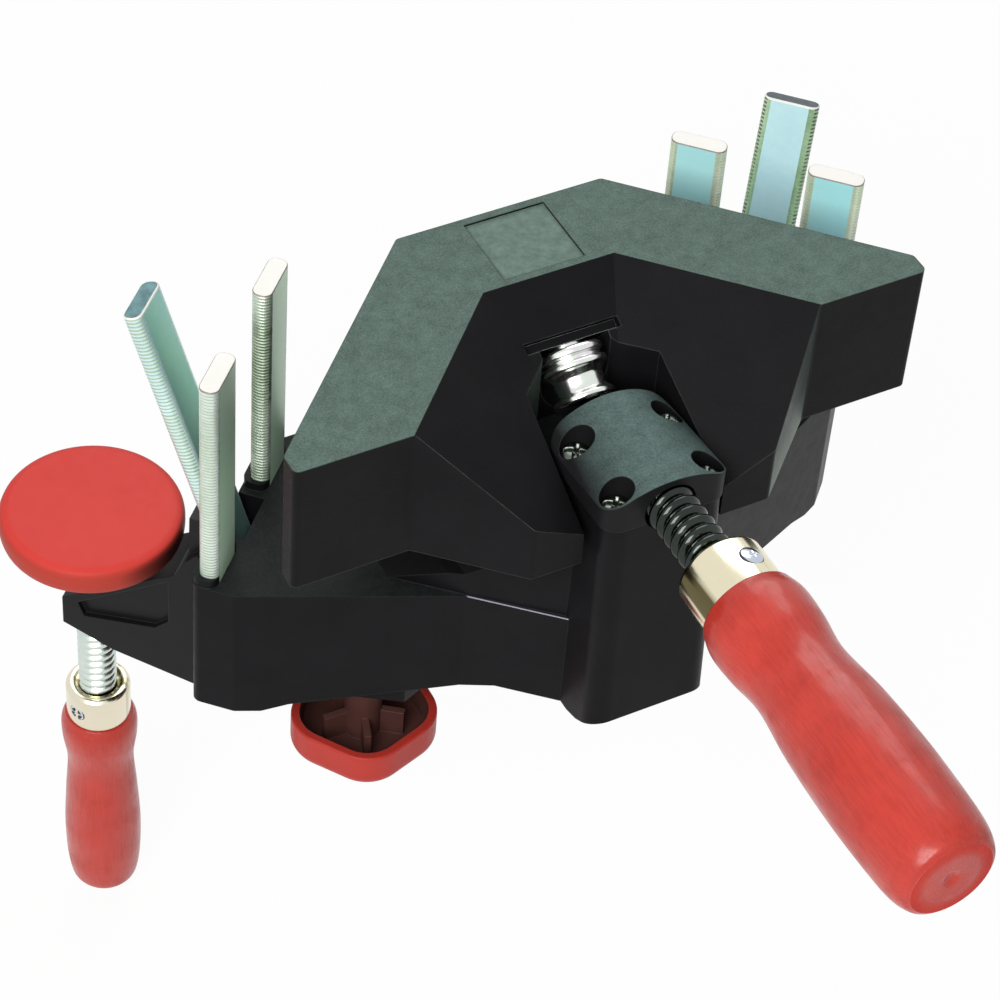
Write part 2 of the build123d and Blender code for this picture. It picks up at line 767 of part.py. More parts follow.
# Bracket of the table clamp, held under the left wing: foot, spine with a tab, and a tapering arm
spine_t = wing_t + spine_gap
screw_at = on_wing(screw_t, bracket_s, 0, -1)
with BuildPart() as table_bracket:
    with BuildSketch(wing_cut(bracket_s + bracket_half, -1)) as bracket_side:
        with BuildLine():
            Polyline(
                (foot_t, foot_low),
                (foot_t, foot_high),
                (spine_t, foot_high),
                (spine_t, 30),
                (63, 37),
                (67, 33),
                (70.5, 26),
                (arm_end_t, arm_high),
                (arm_end_t, arm_low),
                (91, -14.6),
                (64.7, -20),
                (spine_t - 3, -16),
                (48, foot_low),
                (foot_t, foot_low),
            )
        make_face()
        fillet(bracket_side.vertices().filter_by(lambda v: v.Z < -7), 5.0)
    extrude(amount=2 * bracket_half)
    with BuildSketch(wing_cut(bracket_s + tab_half, -1)):
        with BuildLine():
            Polyline((63, 30), (63, 49), (66.6, 49), (67, 30), (63, 30))
        make_face()
    extrude(amount=2 * tab_half)
    for start in (bracket_s + bracket_half, bracket_s - bracket_half + web_sink):
        with BuildSketch(wing_cut(start, -1)) as web_side:
            with BuildLine():
                Polyline(
                    (72.5, 5),
                    (77, 0.5),
                    (web_end_t, -3),
                    (web_end_t + 2, 2.5),
                    (72.5, 22.5),
                    (72.5, 5),
                )
            make_face()
        extrude(amount=web_sink, mode=Mode.SUBTRACT)
    with BuildSketch(Plane.XY.offset(bush_low - 6)):
        with Locations(screw_at[:2]):
            Circle(bush_radius + press)
    extrude(amount=60, mode=Mode.SUBTRACT)
    with BuildSketch():
        with Locations(flat(knob_t, bracket_s, -1)):
            Circle(stud_radius + slide)
    extrude(amount=foot_high, mode=Mode.SUBTRACT)
table_bracket.part.label = "table_bracket"
export_step(table_bracket.part, "parts/table_bracket.step")

with BuildPart() as bracket_bush:
    with BuildSketch(Plane.XY.offset(bush_low)):
        with Locations(screw_at[:2]):
            Circle(bush_radius)
            Circle(table_radius + running, mode=Mode.SUBTRACT)
    extrude(amount=bush_high - bush_low)
bracket_bush.part.label = "bracket_bush"
export_step(bracket_bush.part, "parts/bracket_bush.step")

# Table screw with its ball, pad, ferrule, rivet and handle, all about one upright axis
screw_half = Plane(origin=screw_at, x_dir=(1, 0, 0), z_dir=(0, -1, 0))
screw_axis = Axis(screw_at, (0, 0, 1))
table_rivet_cut = Plane(
    origin=(screw_at[0], screw_at[1], table_rivet_z),
    x_dir=(0, 0, 1),
    z_dir=(-sin(radians(table_rivet_turn)), -cos(radians(table_rivet_turn)), 0),
)
with BuildPart() as table_spindle:
    with BuildSketch(screw_half):
        neck_z = table_ball_z - sqrt(table_ball**2 - table_neck**2)
        with BuildLine():
            ThreePointArc((0, table_ball_z + table_ball), (table_ball, table_ball_z), (table_neck, neck_z))
            Polyline(
                (table_neck, neck_z),
                (table_neck, table_thread_z),
                (table_radius - 1, table_thread_z),
                (table_radius, table_thread_z - 1),
                (table_radius, table_ferrule_top - table_ferrule_wall),
                (table_tang_radius, table_ferrule_top - table_ferrule_wall),
                (table_tang_radius, table_tang_z),
                (0, table_tang_z),
                (0, table_ball_z + table_ball),
            )
        make_face()
    revolve(axis=screw_axis)
    with BuildSketch(table_rivet_cut):
        Circle(table_rivet_radius + press)
    extrude(amount=2 * table_ferrule_radius, both=True, mode=Mode.SUBTRACT)
table_spindle.part.label = "table_spindle"
export_step(table_spindle.part, "parts/table_spindle.step")

with BuildPart() as table_pad:
    with BuildSketch(screw_half):
        seat = table_ball + running
        with BuildLine():
            Polyline(
                (0, table_ball_z + seat),
                (0, pad_top),
                (pad_radius - 3.0, pad_top),
                (pad_radius - 1.0, pad_top - 0.9),
                (pad_radius, pad_top - 2.6),
                (pad_radius - 0.4, pad_low + 1.0),
                (pad_radius - 1.6, pad_low),
                (pad_boss_radius, pad_low),
                (pad_boss_radius, pad_boss_low),
                (seat, pad_boss_low),
                (seat, table_ball_z),
            )
            ThreePointArc(
                (seat, table_ball_z),
                (seat * diagonal, table_ball_z + seat * diagonal),
                (0, table_ball_z + seat),
            )
        make_face()
    revolve(axis=screw_axis)
table_pad.part.label = "table_pad"
export_step(table_pad.part, "parts/table_pad.step")

with BuildPart() as pad_retainer:
    with BuildSketch(Plane.XY.offset(retainer_low)):
        with Locations(screw_at[:2]):
            Circle(pad_boss_radius)
            Circle(table_neck + slide, mode=Mode.SUBTRACT)
    extrude(amount=pad_boss_low - retainer_low - press)
pad_retainer.part.label = "pad_retainer"
export_step(pad_retainer.part, "parts/pad_retainer.step")

with BuildPart() as table_ferrule:
    inner = table_ferrule_radius - table_ferrule_wall
    with BuildSketch(screw_half):
        with BuildLine():
            Polyline(
                (table_radius + press, table_ferrule_top),
                (table_ferrule_radius - 1.2, table_ferrule_top),
                (table_ferrule_radius, table_ferrule_top - 1.2),
                (table_ferrule_radius, table_ferrule_low),
                (inner, table_ferrule_low),
                (inner, table_ferrule_top - table_ferrule_wall),
                (table_radius + press, table_ferrule_top - table_ferrule_wall),
                (table_radius + press, table_ferrule_top),
            )
        make_face()
    revolve(axis=screw_axis)
    with BuildSketch(table_rivet_cut):
        Circle(table_rivet_radius + press)
    extrude(amount=2 * table_ferrule_radius, both=True, mode=Mode.SUBTRACT)
table_ferrule.part.label = "table_ferrule"
export_step(table_ferrule.part, "parts/table_ferrule.step")

with BuildPart() as table_rivet:
    with BuildSketch(table_rivet_cut):
        Circle(table_rivet_radius)
    extrude(amount=table_ferrule_radius + 0.4, both=True)
    fillet(table_rivet.edges().filter_by(GeomType.CIRCLE), 0.4)
table_rivet.part.label = "table_rivet"
export_step(table_rivet.part, "parts/table_rivet.step")

with BuildPart() as table_handle:
    outline = turned(
        (
            (10.8, 0.0),
            (12.0, 0.05),
            (11.8, 0.13),
            (10.6, 0.27),
            (11.6, 0.45),
            (table_handle_radius, 0.66),
            (table_handle_radius - 0.3, 0.84),
            (table_handle_radius - 1.3, 0.95),
            (table_handle_radius - 3.6, 1.0),
        ),
        table_ferrule_low - press,
        table_handle_end,
    )
    plug = inner - press
    with BuildSketch(screw_half):
        with BuildLine():
            Spline(outline)
            Polyline(
                outline[-1],
                (0, table_handle_end),
                (0, table_tang_z - press),
                (table_tang_radius + press, table_tang_z - press),
                (table_tang_radius + press, table_ferrule_top - table_ferrule_wall - press),
                (plug, table_ferrule_top - table_ferrule_wall - press),
                (plug, table_ferrule_low - press),
                outline[0],
            )
        make_face()
    revolve(axis=screw_axis)
    with BuildSketch(table_rivet_cut):
        Circle(table_rivet_radius + press)
    extrude(amount=2 * table_ferrule_radius, both=True, mode=Mode.SUBTRACT)
table_handle.part.label = "table_handle"
export_step(table_handle.part, "parts/table_handle.step")

# Hand knob: five-cornered cup, open and ribbed above, with its stud, washer and threaded insert
knob_at = flat(knob_t, bracket_s, -1)
washer_top = foot_low - slide
hub_top = washer_top - washer_thick - slide
with BuildPart() as hand_knob:
    with BuildSketch(Plane.XY.offset(knob_low)) as knob_plan:
        with Locations(knob_at):
            RegularPolygon(knob_corner, 5, rotation=knob_turn)
        fillet(knob_plan.vertices(), knob_round)
    extrude(amount=knob_rim - knob_low)
    fillet(hand_knob.edges().group_by(Axis.Z)[0], 4.5)
    fillet(hand_knob.edges().group_by(Axis.Z)[-1], 0.8)
    with BuildSketch(Plane.XY.offset(knob_low + knob_floor)) as knob_cup:
        with Locations(knob_at):
            RegularPolygon(knob_corner - knob_wall / cos(radians(36)), 5, rotation=knob_turn)
        fillet(knob_cup.vertices(), knob_round - knob_wall)
    extrude(amount=knob_rim - knob_low, mode=Mode.SUBTRACT)
    with BuildSketch(Plane.XY.offset(knob_low + 1)):
        with Locations(knob_at):
            Circle(knob_hub)
    extrude(amount=hub_top - knob_low - 1)
    with BuildSketch(Plane.XY.offset(knob_low + 1)):
        with Locations(knob_at):
            with PolarLocations(0, 5, start_angle=knob_turn):
                Rectangle(knob_corner - knob_round, knob_rib, align=(Align.MIN, Align.CENTER))
    extrude(amount=knob_rim - knob_low - 2)
    with BuildSketch(Plane.XY.offset(stud_low)):
        with Locations(knob_at):
            Circle(stud_radius + press)
    extrude(amount=40, mode=Mode.SUBTRACT)
hand_knob.part.label = "hand_knob"
export_step(hand_knob.part, "parts/hand_knob.step")

for node, outer, bore, low, high in (
    ("knob_stud", stud_radius, 0, stud_low + press, stud_top),
    ("knob_washer", washer_radius, stud_radius + slide, washer_top - washer_thick, washer_top),
    ("knob_insert", insert_radius, stud_radius + running, foot_high + bracket_gap, insert_high),
):
    with BuildPart() as round_piece:
        with BuildSketch(Plane.XY.offset(low)):
            with Locations(knob_at):
                Circle(outer)
                if bore:
                    Circle(bore, mode=Mode.SUBTRACT)
        extrude(amount=high - low)
    round_piece.part.label = node
    export_step(round_piece.part, f"parts/{node}.step")
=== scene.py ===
import math

import bpy
import numpy as np
from mathutils import Matrix, Vector


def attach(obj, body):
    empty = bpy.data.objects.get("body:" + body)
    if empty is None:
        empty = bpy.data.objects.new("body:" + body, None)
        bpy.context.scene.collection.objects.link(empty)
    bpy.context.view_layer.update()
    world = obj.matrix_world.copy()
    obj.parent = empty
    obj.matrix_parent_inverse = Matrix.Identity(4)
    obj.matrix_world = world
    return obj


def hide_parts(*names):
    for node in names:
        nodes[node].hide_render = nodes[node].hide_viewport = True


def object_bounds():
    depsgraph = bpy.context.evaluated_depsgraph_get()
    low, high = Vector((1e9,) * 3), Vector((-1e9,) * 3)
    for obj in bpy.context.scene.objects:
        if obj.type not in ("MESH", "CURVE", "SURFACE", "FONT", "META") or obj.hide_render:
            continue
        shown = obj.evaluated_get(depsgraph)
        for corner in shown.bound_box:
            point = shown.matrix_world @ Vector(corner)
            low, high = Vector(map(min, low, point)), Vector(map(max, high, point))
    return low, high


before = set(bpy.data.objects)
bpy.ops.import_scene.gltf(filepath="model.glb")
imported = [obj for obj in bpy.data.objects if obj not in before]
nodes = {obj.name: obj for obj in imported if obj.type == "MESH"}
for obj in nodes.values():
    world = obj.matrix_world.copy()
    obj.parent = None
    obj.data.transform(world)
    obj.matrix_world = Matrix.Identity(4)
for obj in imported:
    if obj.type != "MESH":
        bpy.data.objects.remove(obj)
cad_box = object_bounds()

# Lengths are in millimetres, in the solids' own frame, and reach a mesh or a shader in metres. Only the
# studio's lamps and floor are given in metres. Along a wing, s runs towards the tip and t outwards.
MM = 0.001
DIAGONAL = math.sqrt(0.5)
UP = (0, 0, 1)
FORWARD = (0, -1, 0)


def wing(t, s, z, side):
    """The point at t outwards and s along a wing, at the level z. Side is 1 on the right, -1 on the left."""
    return np.array([side * (t + s) * DIAGONAL, (t - s) * DIAGONAL, z])


# Places that more than one piece or finish needs
SPINDLE_Z = 102.4
BALL_AT = (0, -52.5, SPINDLE_Z)
BRACKET_S = 70
SCREW_AT = wing(100.6, BRACKET_S, 0, -1)
KNOB_AT = wing(13, BRACKET_S, 0, -1)

# Surfaces: how finely they are divided
ROWS_PER_TURN = 20
ROWS_PER_TOOTH = 8
CORNER_POINTS = 7
BRIM_ROWS = 5
DOME_POINTS = 24
PIN_STEPS = 96

# Flat bars: the section, and the order in which a bar's finishes are given
BAR_WIDTH, BAR_THICK, BAR_ROUND = 17.0, 6.0, 2.6
FACE, EDGE, TOP, BRIM, GAP = range(5)


def grid_mesh(name, grids, material, closed_ends=True):
    """Puts grids of points (rows, columns, 3) into one smooth mesh. Columns close round. With closed ends,
    the first and the last row close to their mean points."""
    corners, faces, start = [], [], 0
    for points in grids:
        rows, columns = points.shape[:2]
        row, column = np.meshgrid(np.arange(rows - 1), np.arange(columns), indexing="ij")
        here, after = row * columns + column, row * columns + (column + 1) % columns
        quads = np.stack([here, after, after + columns, here + columns], -1).reshape(-1, 4)
        faces += (start + quads).tolist()
        ring = np.arange(columns)
        corners.append(points.reshape(-1, 3))
        count = rows * columns
        for level in (0, rows - 1) if closed_ends else ():
            corners.append(points[level].mean(0)[None])
            hub = np.full(columns, start + count)
            rim = start + level * columns + np.stack([ring, (ring + 1) % columns], -1)
            rim = rim if level else rim[:, ::-1]
            faces += np.column_stack([hub, rim]).tolist()
            count += 1
        start += count
    mesh = bpy.data.meshes.new(name)
    mesh.from_pydata((np.vstack(corners) * MM).tolist(), [], faces)
    mesh.polygons.foreach_set("use_smooth", np.full(len(mesh.polygons), True))
    piece = bpy.data.objects.new(name, mesh)
    bpy.context.collection.objects.link(piece)
    face_outwards(mesh)
    mesh.materials.append(material)
    return piece


def face_outwards(mesh):
    """Turns a closed mesh's faces outwards: then the sum of a . (b x c) over its triangles is positive."""
    mesh.calc_loop_triangles()
    tris = np.empty(len(mesh.loop_triangles) * 3, dtype=np.int64)
    mesh.loop_triangles.foreach_get("vertices", tris)
    co = np.empty(len(mesh.vertices) * 3)
    mesh.vertices.foreach_get("co", co)
    a, b, c = co.reshape(-1, 3)[tris.reshape(-1, 3)].transpose(1, 0, 2)
    if np.einsum("ij,ij->i", a, np.cross(b, c)).sum() < 0:
        mesh.flip_normals()


def rounded(profile, soften, arc):
    """A profile's corners cut by short arcs: each inner corner becomes arc points on the curve through
    (1-u)^2 A + 2u(1-u) P + u^2 B, where A and B lie soften before and after the corner P, or 0.45 of the
    way to the next corner where that is less."""
    points = np.array(profile, dtype=float)
    out = [points[:1]]
    u = np.linspace(0, 1, arc)[:, None]
    for before, corner, after in zip(points[:-2], points[1:-1], points[2:]):
        lead, tail = before - corner, after - corner
        a = corner + lead * min(0.45, soften / max(np.linalg.norm(lead), 1e-9))
        b = corner + tail * min(0.45, soften / max(np.linalg.norm(tail), 1e-9))
        out.append((1 - u) ** 2 * a + 2 * u * (1 - u) * corner + u**2 * b)
    out.append(points[-1:])
    return np.vstack(out)


def smooth_profile(keys, count):
    """Points on a smooth curve through the keys (radius, height), evenly spaced in each span. Between the
    middle two of four keys a, b, c, d the point at the share u is
    (2b + (c - a) u + (2a - 5b + 4c - d) u^2 + (3b - a - 3c + d) u^3) / 2."""
    keys = np.array(keys, float)
    padded = np.vstack([2 * keys[0] - keys[1], keys, 2 * keys[-1] - keys[-2]])
    at = np.linspace(0, len(keys) - 1 - 1e-9, count)
    span = at.astype(int)
    u = (at - span)[:, None]
    a, b, c, d = (padded[span + k] for k in range(4))
    return 0.5 * (2 * b + (c - a) * u + (2 * a - 5 * b + 4 * c - d) * u**2 + (3 * b - a - 3 * c + d) * u**3)


def dome(radius, rim, rise):
    """A head's profile from its middle to its rim: at angle u, (radius * sin u, rim + rise * cos u)."""
    u = np.radians(np.linspace(4, 90, DOME_POINTS))
    return np.stack([radius * np.sin(u), rim + rise * np.cos(u)], -1)


def spokes(axis, side, steps):
    """Unit vectors square to the axis at even angles a from side: side * cos a + (axis x side) * sin a."""
    angle = np.linspace(0, 2 * np.pi, steps, endpoint=False)
    axis, side = np.array(axis, float), np.array(side, float)
    return np.cos(angle)[:, None] * side + np.sin(angle)[:, None] * np.cross(axis, side)


def turned(name, profile, origin, axis, material, steps=128, ring=False):
    """Surface of revolution: a point of the profile (radius r, height h) at angle a lies at
    origin + h * axis + r * spoke(a). With ring, the profile closes on itself."""
    profile = np.asarray(profile, dtype=float)
    if ring:
        profile = np.vstack([profile, profile[:1]])
    lift = np.array(origin) + profile[:, 1, None, None] * np.array(axis, float)
    points = lift + profile[:, 0, None, None] * spokes(axis, (1, 0, 0), steps)
    return grid_mesh(name, [points], material, closed_ends=not ring)


def threaded(name, plain_start, thread, plain_end, pitch, root, origin, axis, material, steps=96):
    """Round bar with a right-hand thread. Along the threaded stretch the radius at height h and angle a is
    root + (crest - root) * |cos(pi p)| ** 0.8 at the phase p = h / pitch - a / (2 pi), so that the coils are
    round and meet in narrow valleys."""
    crest, low, high = thread
    count = int(abs(high - low) / pitch * ROWS_PER_TURN) + 1
    heights = np.linspace(low, high, count)
    angle = np.linspace(0, 2 * np.pi, steps, endpoint=False)
    phase = heights[:, None] / pitch - angle[None] / (2 * np.pi)
    radius = root + (crest - root) * np.abs(np.cos(np.pi * phase)) ** 0.8
    start, end = np.array(plain_start, float), np.array(plain_end, float)
    radius = np.vstack([np.repeat(start[:, :1], steps, 1), radius, np.repeat(end[:, :1], steps, 1)])
    level = np.concatenate([start[:, 1], heights, end[:, 1]])
    lift = np.array(origin) + level[:, None, None] * np.array(axis, float)
    return grid_mesh(name, [lift + radius[:, :, None] * spokes(axis, (1, 0, 0), steps)], material)


def falling(value, limit, blur):
    """1 below the limit and 0 above it, changing evenly from limit * (1 - blur) to limit * (1 + blur)."""
    return 1 - np.clip((value - limit * (1 - blur)) / (2 * limit * blur), 0, 1)


def crossed(origins, axis, side, head, shank, recess):
    """Grids of a headed pin with a cross recess. Round its axis the head is sunk, at a point x, y of its top,
    by depth * max(slot(x), slot(y)) * hub(radius): slot falls from 1 to 0 past the recess's half width, and
    hub past its reach."""
    head, shank = np.array(head, float), np.array(shank, float)
    half, reach, depth = recess
    angle = np.linspace(0, 2 * np.pi, PIN_STEPS, endpoint=False)
    across = np.abs(head[:, 0, None] * np.stack([np.cos(angle), np.sin(angle)])[:, None])
    sunk = depth * falling(across, half, 0.25).max(0) * falling(head[:, 0, None], reach, 0.15)
    radius = np.repeat(np.vstack([head[:, :1], shank[:, :1]]), PIN_STEPS, 1)
    height = np.vstack([head[:, 1, None] - sunk, np.repeat(shank[:, 1:], PIN_STEPS, 1)])
    spoke = spokes(axis, side, PIN_STEPS)
    up = np.array(axis, float)
    return [np.array(at) + height[..., None] * up + radius[..., None] * spoke for at in origins]


def riveted(name, middle, axis, side, head, shank, recess, finish, rim_shade_finish, shaded_rows):
    """A pin with a crossed head at each end, the one half the other turned round. The dark rows of each half,
    counted from the middle of its head, and the inner end of its shank take a dark finish of painted shade."""
    grids = [grid for way in (1, -1) for grid in crossed([middle], way * axis, side, head, shank, recess)]
    pin = grid_mesh(name, grids, finish)
    pin.data.materials.append(rim_shade_finish)
    rows, columns = grids[0].shape[0] - 1, grids[0].shape[1]
    dark_sides, dark_ends = np.isin(np.arange(rows), list(shaded_rows)), [False, True]
    half = np.repeat(np.concatenate([dark_sides, dark_ends]), columns)
    pin.data.polygons.foreach_set("material_index", np.tile(half, len(grids)).astype(np.int32))
    return pin


def flat_bar(name, foot, width_dir, up_dir, length, finishes, bite, brim=0.35, tooth=1.15):
    """Flat bar with rounded, serrated narrow edges and a crisp flat top. The section is a rectangle with
    corner arcs, which shrink by an inset. At height h that is bite * ((1 + cos(2 pi h / tooth)) / 2) ** 3 on
    the narrow edges alone, and below the top it grows all round along a short quarter arc, the brim. Narrow
    is 1 on the narrow edges and 0 on the wide sides."""
    quarter = np.linspace(0, np.pi / 2, CORNER_POINTS)
    turn = (quarter[None] + np.arange(4)[:, None] * np.pi / 2).reshape(-1)
    signs = np.repeat([(1, 1), (-1, 1), (-1, -1), (1, -1)], CORNER_POINTS, 0)
    centre = signs * (BAR_WIDTH / 2 - BAR_ROUND, BAR_THICK / 2 - BAR_ROUND)
    outward = np.stack([np.cos(turn), np.sin(turn)], -1)
    rows = int(length / tooth * ROWS_PER_TOOTH)
    height = np.linspace(0, length - brim, rows)
    notch = bite * ((1 + np.cos(2 * np.pi * height / tooth)) / 2) ** 3
    narrow = np.clip(np.abs(outward[:, 0]) * 1.6 - 0.5, 0, 1)
    bow = np.linspace(0.15, 1, BRIM_ROWS) * np.pi / 2
    height = np.concatenate([height, length - brim + brim * np.sin(bow), [length, length]])
    lid_steps = np.array([[0.05], [0.4]])
    inset = np.vstack([
        notch[:, None] * narrow,
        np.repeat(brim * (1 - np.cos(bow))[:, None], len(turn), 1),
        np.full((2, len(turn)), brim) + lid_steps,
    ])
    section = centre + (BAR_ROUND - inset[..., None]) * outward
    width_dir, up_dir = np.array(width_dir, float), np.array(up_dir, float)
    points = (
        np.array(foot)
        + section[..., :1] * width_dir
        + section[..., 1:] * np.cross(up_dir, width_dir)
        + height[:, None, None] * up_dir
    )
    bar = grid_mesh(name, [points], finishes[FACE])
    for finish in finishes[EDGE:]:
        bar.data.materials.append(finish)
    columns, levels = len(turn), len(height) - 1
    brim_start, brim_end = rows - 1, rows + BRIM_ROWS - 2
    wide_sides = [CORNER_POINTS - 1, 3 * CORNER_POINTS - 1]
    kinds = np.full((levels, columns), EDGE)
    kinds[:brim_start][(notch[:-1, None] > 0.2 * bite) & (narrow[None] > 0.5)] = GAP
    kinds[:, wide_sides] = FACE
    kinds[brim_start:brim_end] = BRIM
    kinds[brim_end:] = TOP
    kinds = np.concatenate([kinds.reshape(-1), np.full(columns, EDGE), np.full(columns, TOP)])
    bar.data.polygons.foreach_set("material_index", kinds.astype(np.int32))
    return bar


# Materials: the classes that build their nodes


class Wire:
    """One output of a node. + - * and ** on wires and numbers add Math nodes."""

    def __init__(self, graph, socket):
        self.graph = graph
        self.socket = socket

    def __add__(self, other):
        return self.graph.maths("ADD", self, other)

    def __sub__(self, other):
        return self.graph.maths("SUBTRACT", self, other)

    def __rsub__(self, other):
        return self.graph.maths("SUBTRACT", other, self)

    def __mul__(self, other):
        return self.graph.maths("MULTIPLY", self, other)

    def __pow__(self, other):
        return self.graph.maths("POWER", self, other)

    __radd__ = __add__
    __rmul__ = __mul__


class Graph:
    """The nodes of a material or of the world."""

    def __init__(self, tree):
        self.tree = tree

    def node(self, kind, settings, values, output=0):
        """Adds a node: its settings come first, then the values or links of its sockets."""
        made = self.tree.nodes.new(kind)
        for key, value in settings.items():
            setattr(made, key, value)
        for key, value in values.items():
            self.plug(made.inputs[key], value)
        return Wire(self, made.outputs[output])

    def plug(self, socket, value):
        """Links a wire to a socket, or gives the socket a plain value."""
        if isinstance(value, Wire):
            self.tree.links.new(value.socket, socket)
        else:
            socket.default_value = value

    def maths(self, operation, first, second):
        return self.node("ShaderNodeMath", {"operation": operation}, {0: first, 1: second})

    def between(self, value, low, high, start=0.0, end=1.0):
        """The value mapped from low..high to start..end, and held there."""
        return self.node("ShaderNodeMapRange", {"clamp": True}, {0: value, 1: low, 2: high, 3: start, 4: end})

    def seen_straight(self):
        """1 where a camera, mirror or see-through ray meets the surface, else 0."""
        kinds = ("Is Camera Ray", "Is Glossy Ray", "Is Transmission Ray")
        camera, mirror, glass = (self.node("ShaderNodeLightPath", {}, {}, kind) for kind in kinds)
        return self.maths("MAXIMUM", self.maths("MAXIMUM", camera, mirror), glass)


class Finish(Graph):
    """A material under construction: its nodes, its shader and the place on the object."""

    def __init__(self, name, colour, roughness, metallic=0.0, **constants):
        self.material = bpy.data.materials.new(name)
        self.material.use_nodes = True
        super().__init__(self.material.node_tree)
        self.shader = self.tree.nodes["Principled BSDF"]
        constants = {"Base Color": (*colour, 1), "Roughness": roughness, "Metallic": metallic, **constants}
        for socket, value in constants.items():
            self.shader.inputs[socket.replace("_", " ")].default_value = value
        self.place = self.node("ShaderNodeTexCoord", {}, {}, "Object")

    def noise(self, scale, detail, rough, stretch=None):
        """Noise of scale cells to a metre. Stretch multiplies the cells along x, y and z."""
        place = self.place
        if stretch:
            place = self.node("ShaderNodeMapping", {}, {"Vector": place, "Scale": stretch})
        values = {"Vector": place, "Scale": scale, "Detail": detail, "Roughness": rough}
        return self.node("ShaderNodeTexNoise", {}, values)

    def blend(self, share, first, second):
        """The first colour where share is 0 and the second where it is 1."""
        first, second = ((*ink, 1) if isinstance(ink, tuple) else ink for ink in (first, second))
        return self.node("ShaderNodeMix", {"data_type": "RGBA"}, {0: share, 6: first, 7: second}, 2)

    def dot(self, first, second):
        return self.node("ShaderNodeVectorMath", {"operation": "DOT_PRODUCT"}, {0: first, 1: second}, "Value")

    def facing(self, direction):
        """How far the surface faces a fixed direction, from -1 to 1."""
        return self.dot(self.node("ShaderNodeNewGeometry", {}, {}, "Normal"), direction)

    def along(self, axis):
        """The place along X, Y or Z, in metres."""
        return self.node("ShaderNodeSeparateXYZ", {}, {0: self.place}, axis)

    def above(self, value, limit, soft):
        """0 below the limit and 1 above it. A change takes soft millimetres on both sides of the limit."""
        return self.between(value, (limit - soft) * MM, (limit + soft) * MM)

    def below(self, value, limit, soft):
        """1 below the limit and 0 above it."""
        return self.between(value, (limit - soft) * MM, (limit + soft) * MM, 1.0, 0.0)

    def slab(self, axis, low, high, soft):
        """1 between two limits along an axis, else 0."""
        value = self.along(axis)
        return self.above(value, low, soft) * self.below(value, high, soft)

    def softened(self, radius):
        """The normal with edges rounded off over radius, and how far it leans from the true one, 0 to 1."""
        eased = self.node("ShaderNodeBevel", {"samples": 6}, {"Radius": radius * MM}, "Normal")
        return eased, self.between(1 - self.facing(eased), 0.01, 0.22)

    def feed(self, socket, wire):
        self.plug(self.shader.inputs[socket], wire)

    def relief(self, height, depth, strength, normal=None):
        """Dents of up to depth, on top of a normal that is already softened where one is given."""
        values = {"Strength": strength, "Distance": depth * MM, "Height": height}
        if normal:
            values["Normal"] = normal
        self.feed("Normal", self.node("ShaderNodeBump", {}, values, "Normal"))


# Materials: the three kinds of finish


def moulded(
    name, dark, light, rubbed, roughness, grain_depth=0.05, specular=0.06, edge=0.5, top=None,
    level_from=0.975, up=UP, patch=None,
):
    """Glass-filled moulding: fine grain, clouds of flow, scuffs, and edges lighter, partly rubbed and partly
    a painted highlight. With top, the faces that lie level take a matt, mottled painted sheen in that colour,
    which starts where the share facing up is level_from. A patch gives a share and a colour that lies over
    the rest."""
    finish = Finish(name, dark, roughness, Specular_IOR_Level=specular)
    cloud = finish.noise(60, detail=5, rough=0.62)
    grain = finish.noise(1700, detail=3, rough=0.65)
    scuff = finish.noise(230, detail=6, rough=0.72)
    colour = finish.blend(finish.between(cloud, 0.35, 0.68), dark, light)
    rough = roughness - 0.03 + 0.07 * finish.between(scuff, 0.4, 0.66) + 0.05 * (grain - 0.5)
    # Painted sheen: the faces that lie level are lightened to the top colour, mottled and a little rougher.
    if top:
        level = finish.between(finish.facing(up), level_from, 0.995)
        mottle = 0.45 * finish.between(scuff, 0.36, 0.66) + 0.55 * finish.between(grain, 0.38, 0.64)
        deep, pale = (tuple(gain * part for part in top) for gain in (0.64, 1.5))
        colour = finish.blend(level, colour, finish.blend(mottle, deep, pale))
        rough = rough + 0.08 * level
    eased, worn = finish.softened(edge)
    if patch:
        share, over = patch(finish)
        colour = finish.blend(share, colour, over)
        worn = worn * (1 - share)
    # Edges lighter: partly rubbed wear, partly a painted highlight along them.
    wear_and_edge_highlight = worn * finish.between(scuff, 0.3, 0.6, 0.25, 1.0)
    finish.feed("Base Color", finish.blend(wear_and_edge_highlight, colour, rubbed))
    finish.feed("Roughness", rough)
    finish.relief(grain + 0.5 * scuff, grain_depth, 0.8, eased)
    return finish.material


def plated(name, colour, tint, roughness, grain=(1, 1, 1), metallic=1.0, spread=30, reflection_bands=None):
    """Plated steel: soft clouds of two tints, passivation but on the chrome a painted reflection, polishing
    lines and an uneven sheen. Bands of a third colour, a painted reflection, run in the direction in which
    their noise is stretched."""
    finish = Finish(name, colour, roughness, metallic)
    cloud = finish.noise(spread, detail=4, rough=0.58)
    line = finish.noise(800, detail=3, rough=0.6, stretch=grain)
    fleck = finish.noise(420, detail=4, rough=0.7)
    share = 0.75 * finish.between(cloud, 0.36, 0.66) + 0.25 * finish.between(fleck, 0.4, 0.66)
    surface = finish.blend(share, colour, tint)
    # Painted reflection: dark bands along the surface.
    if reflection_bands:
        shade, stretch, low, high = reflection_bands
        reflection_band = finish.between(finish.noise(110, detail=2, rough=0.5, stretch=stretch), low, high)
        surface = finish.blend(reflection_band, surface, shade)
    finish.feed("Roughness", roughness + 0.12 * (line - 0.5) + 0.10 * (cloud - 0.5))
    finish.relief(line + 0.6 * fleck, 0.012, 0.5)
    finish.feed("Base Color", surface)
    return finish.material


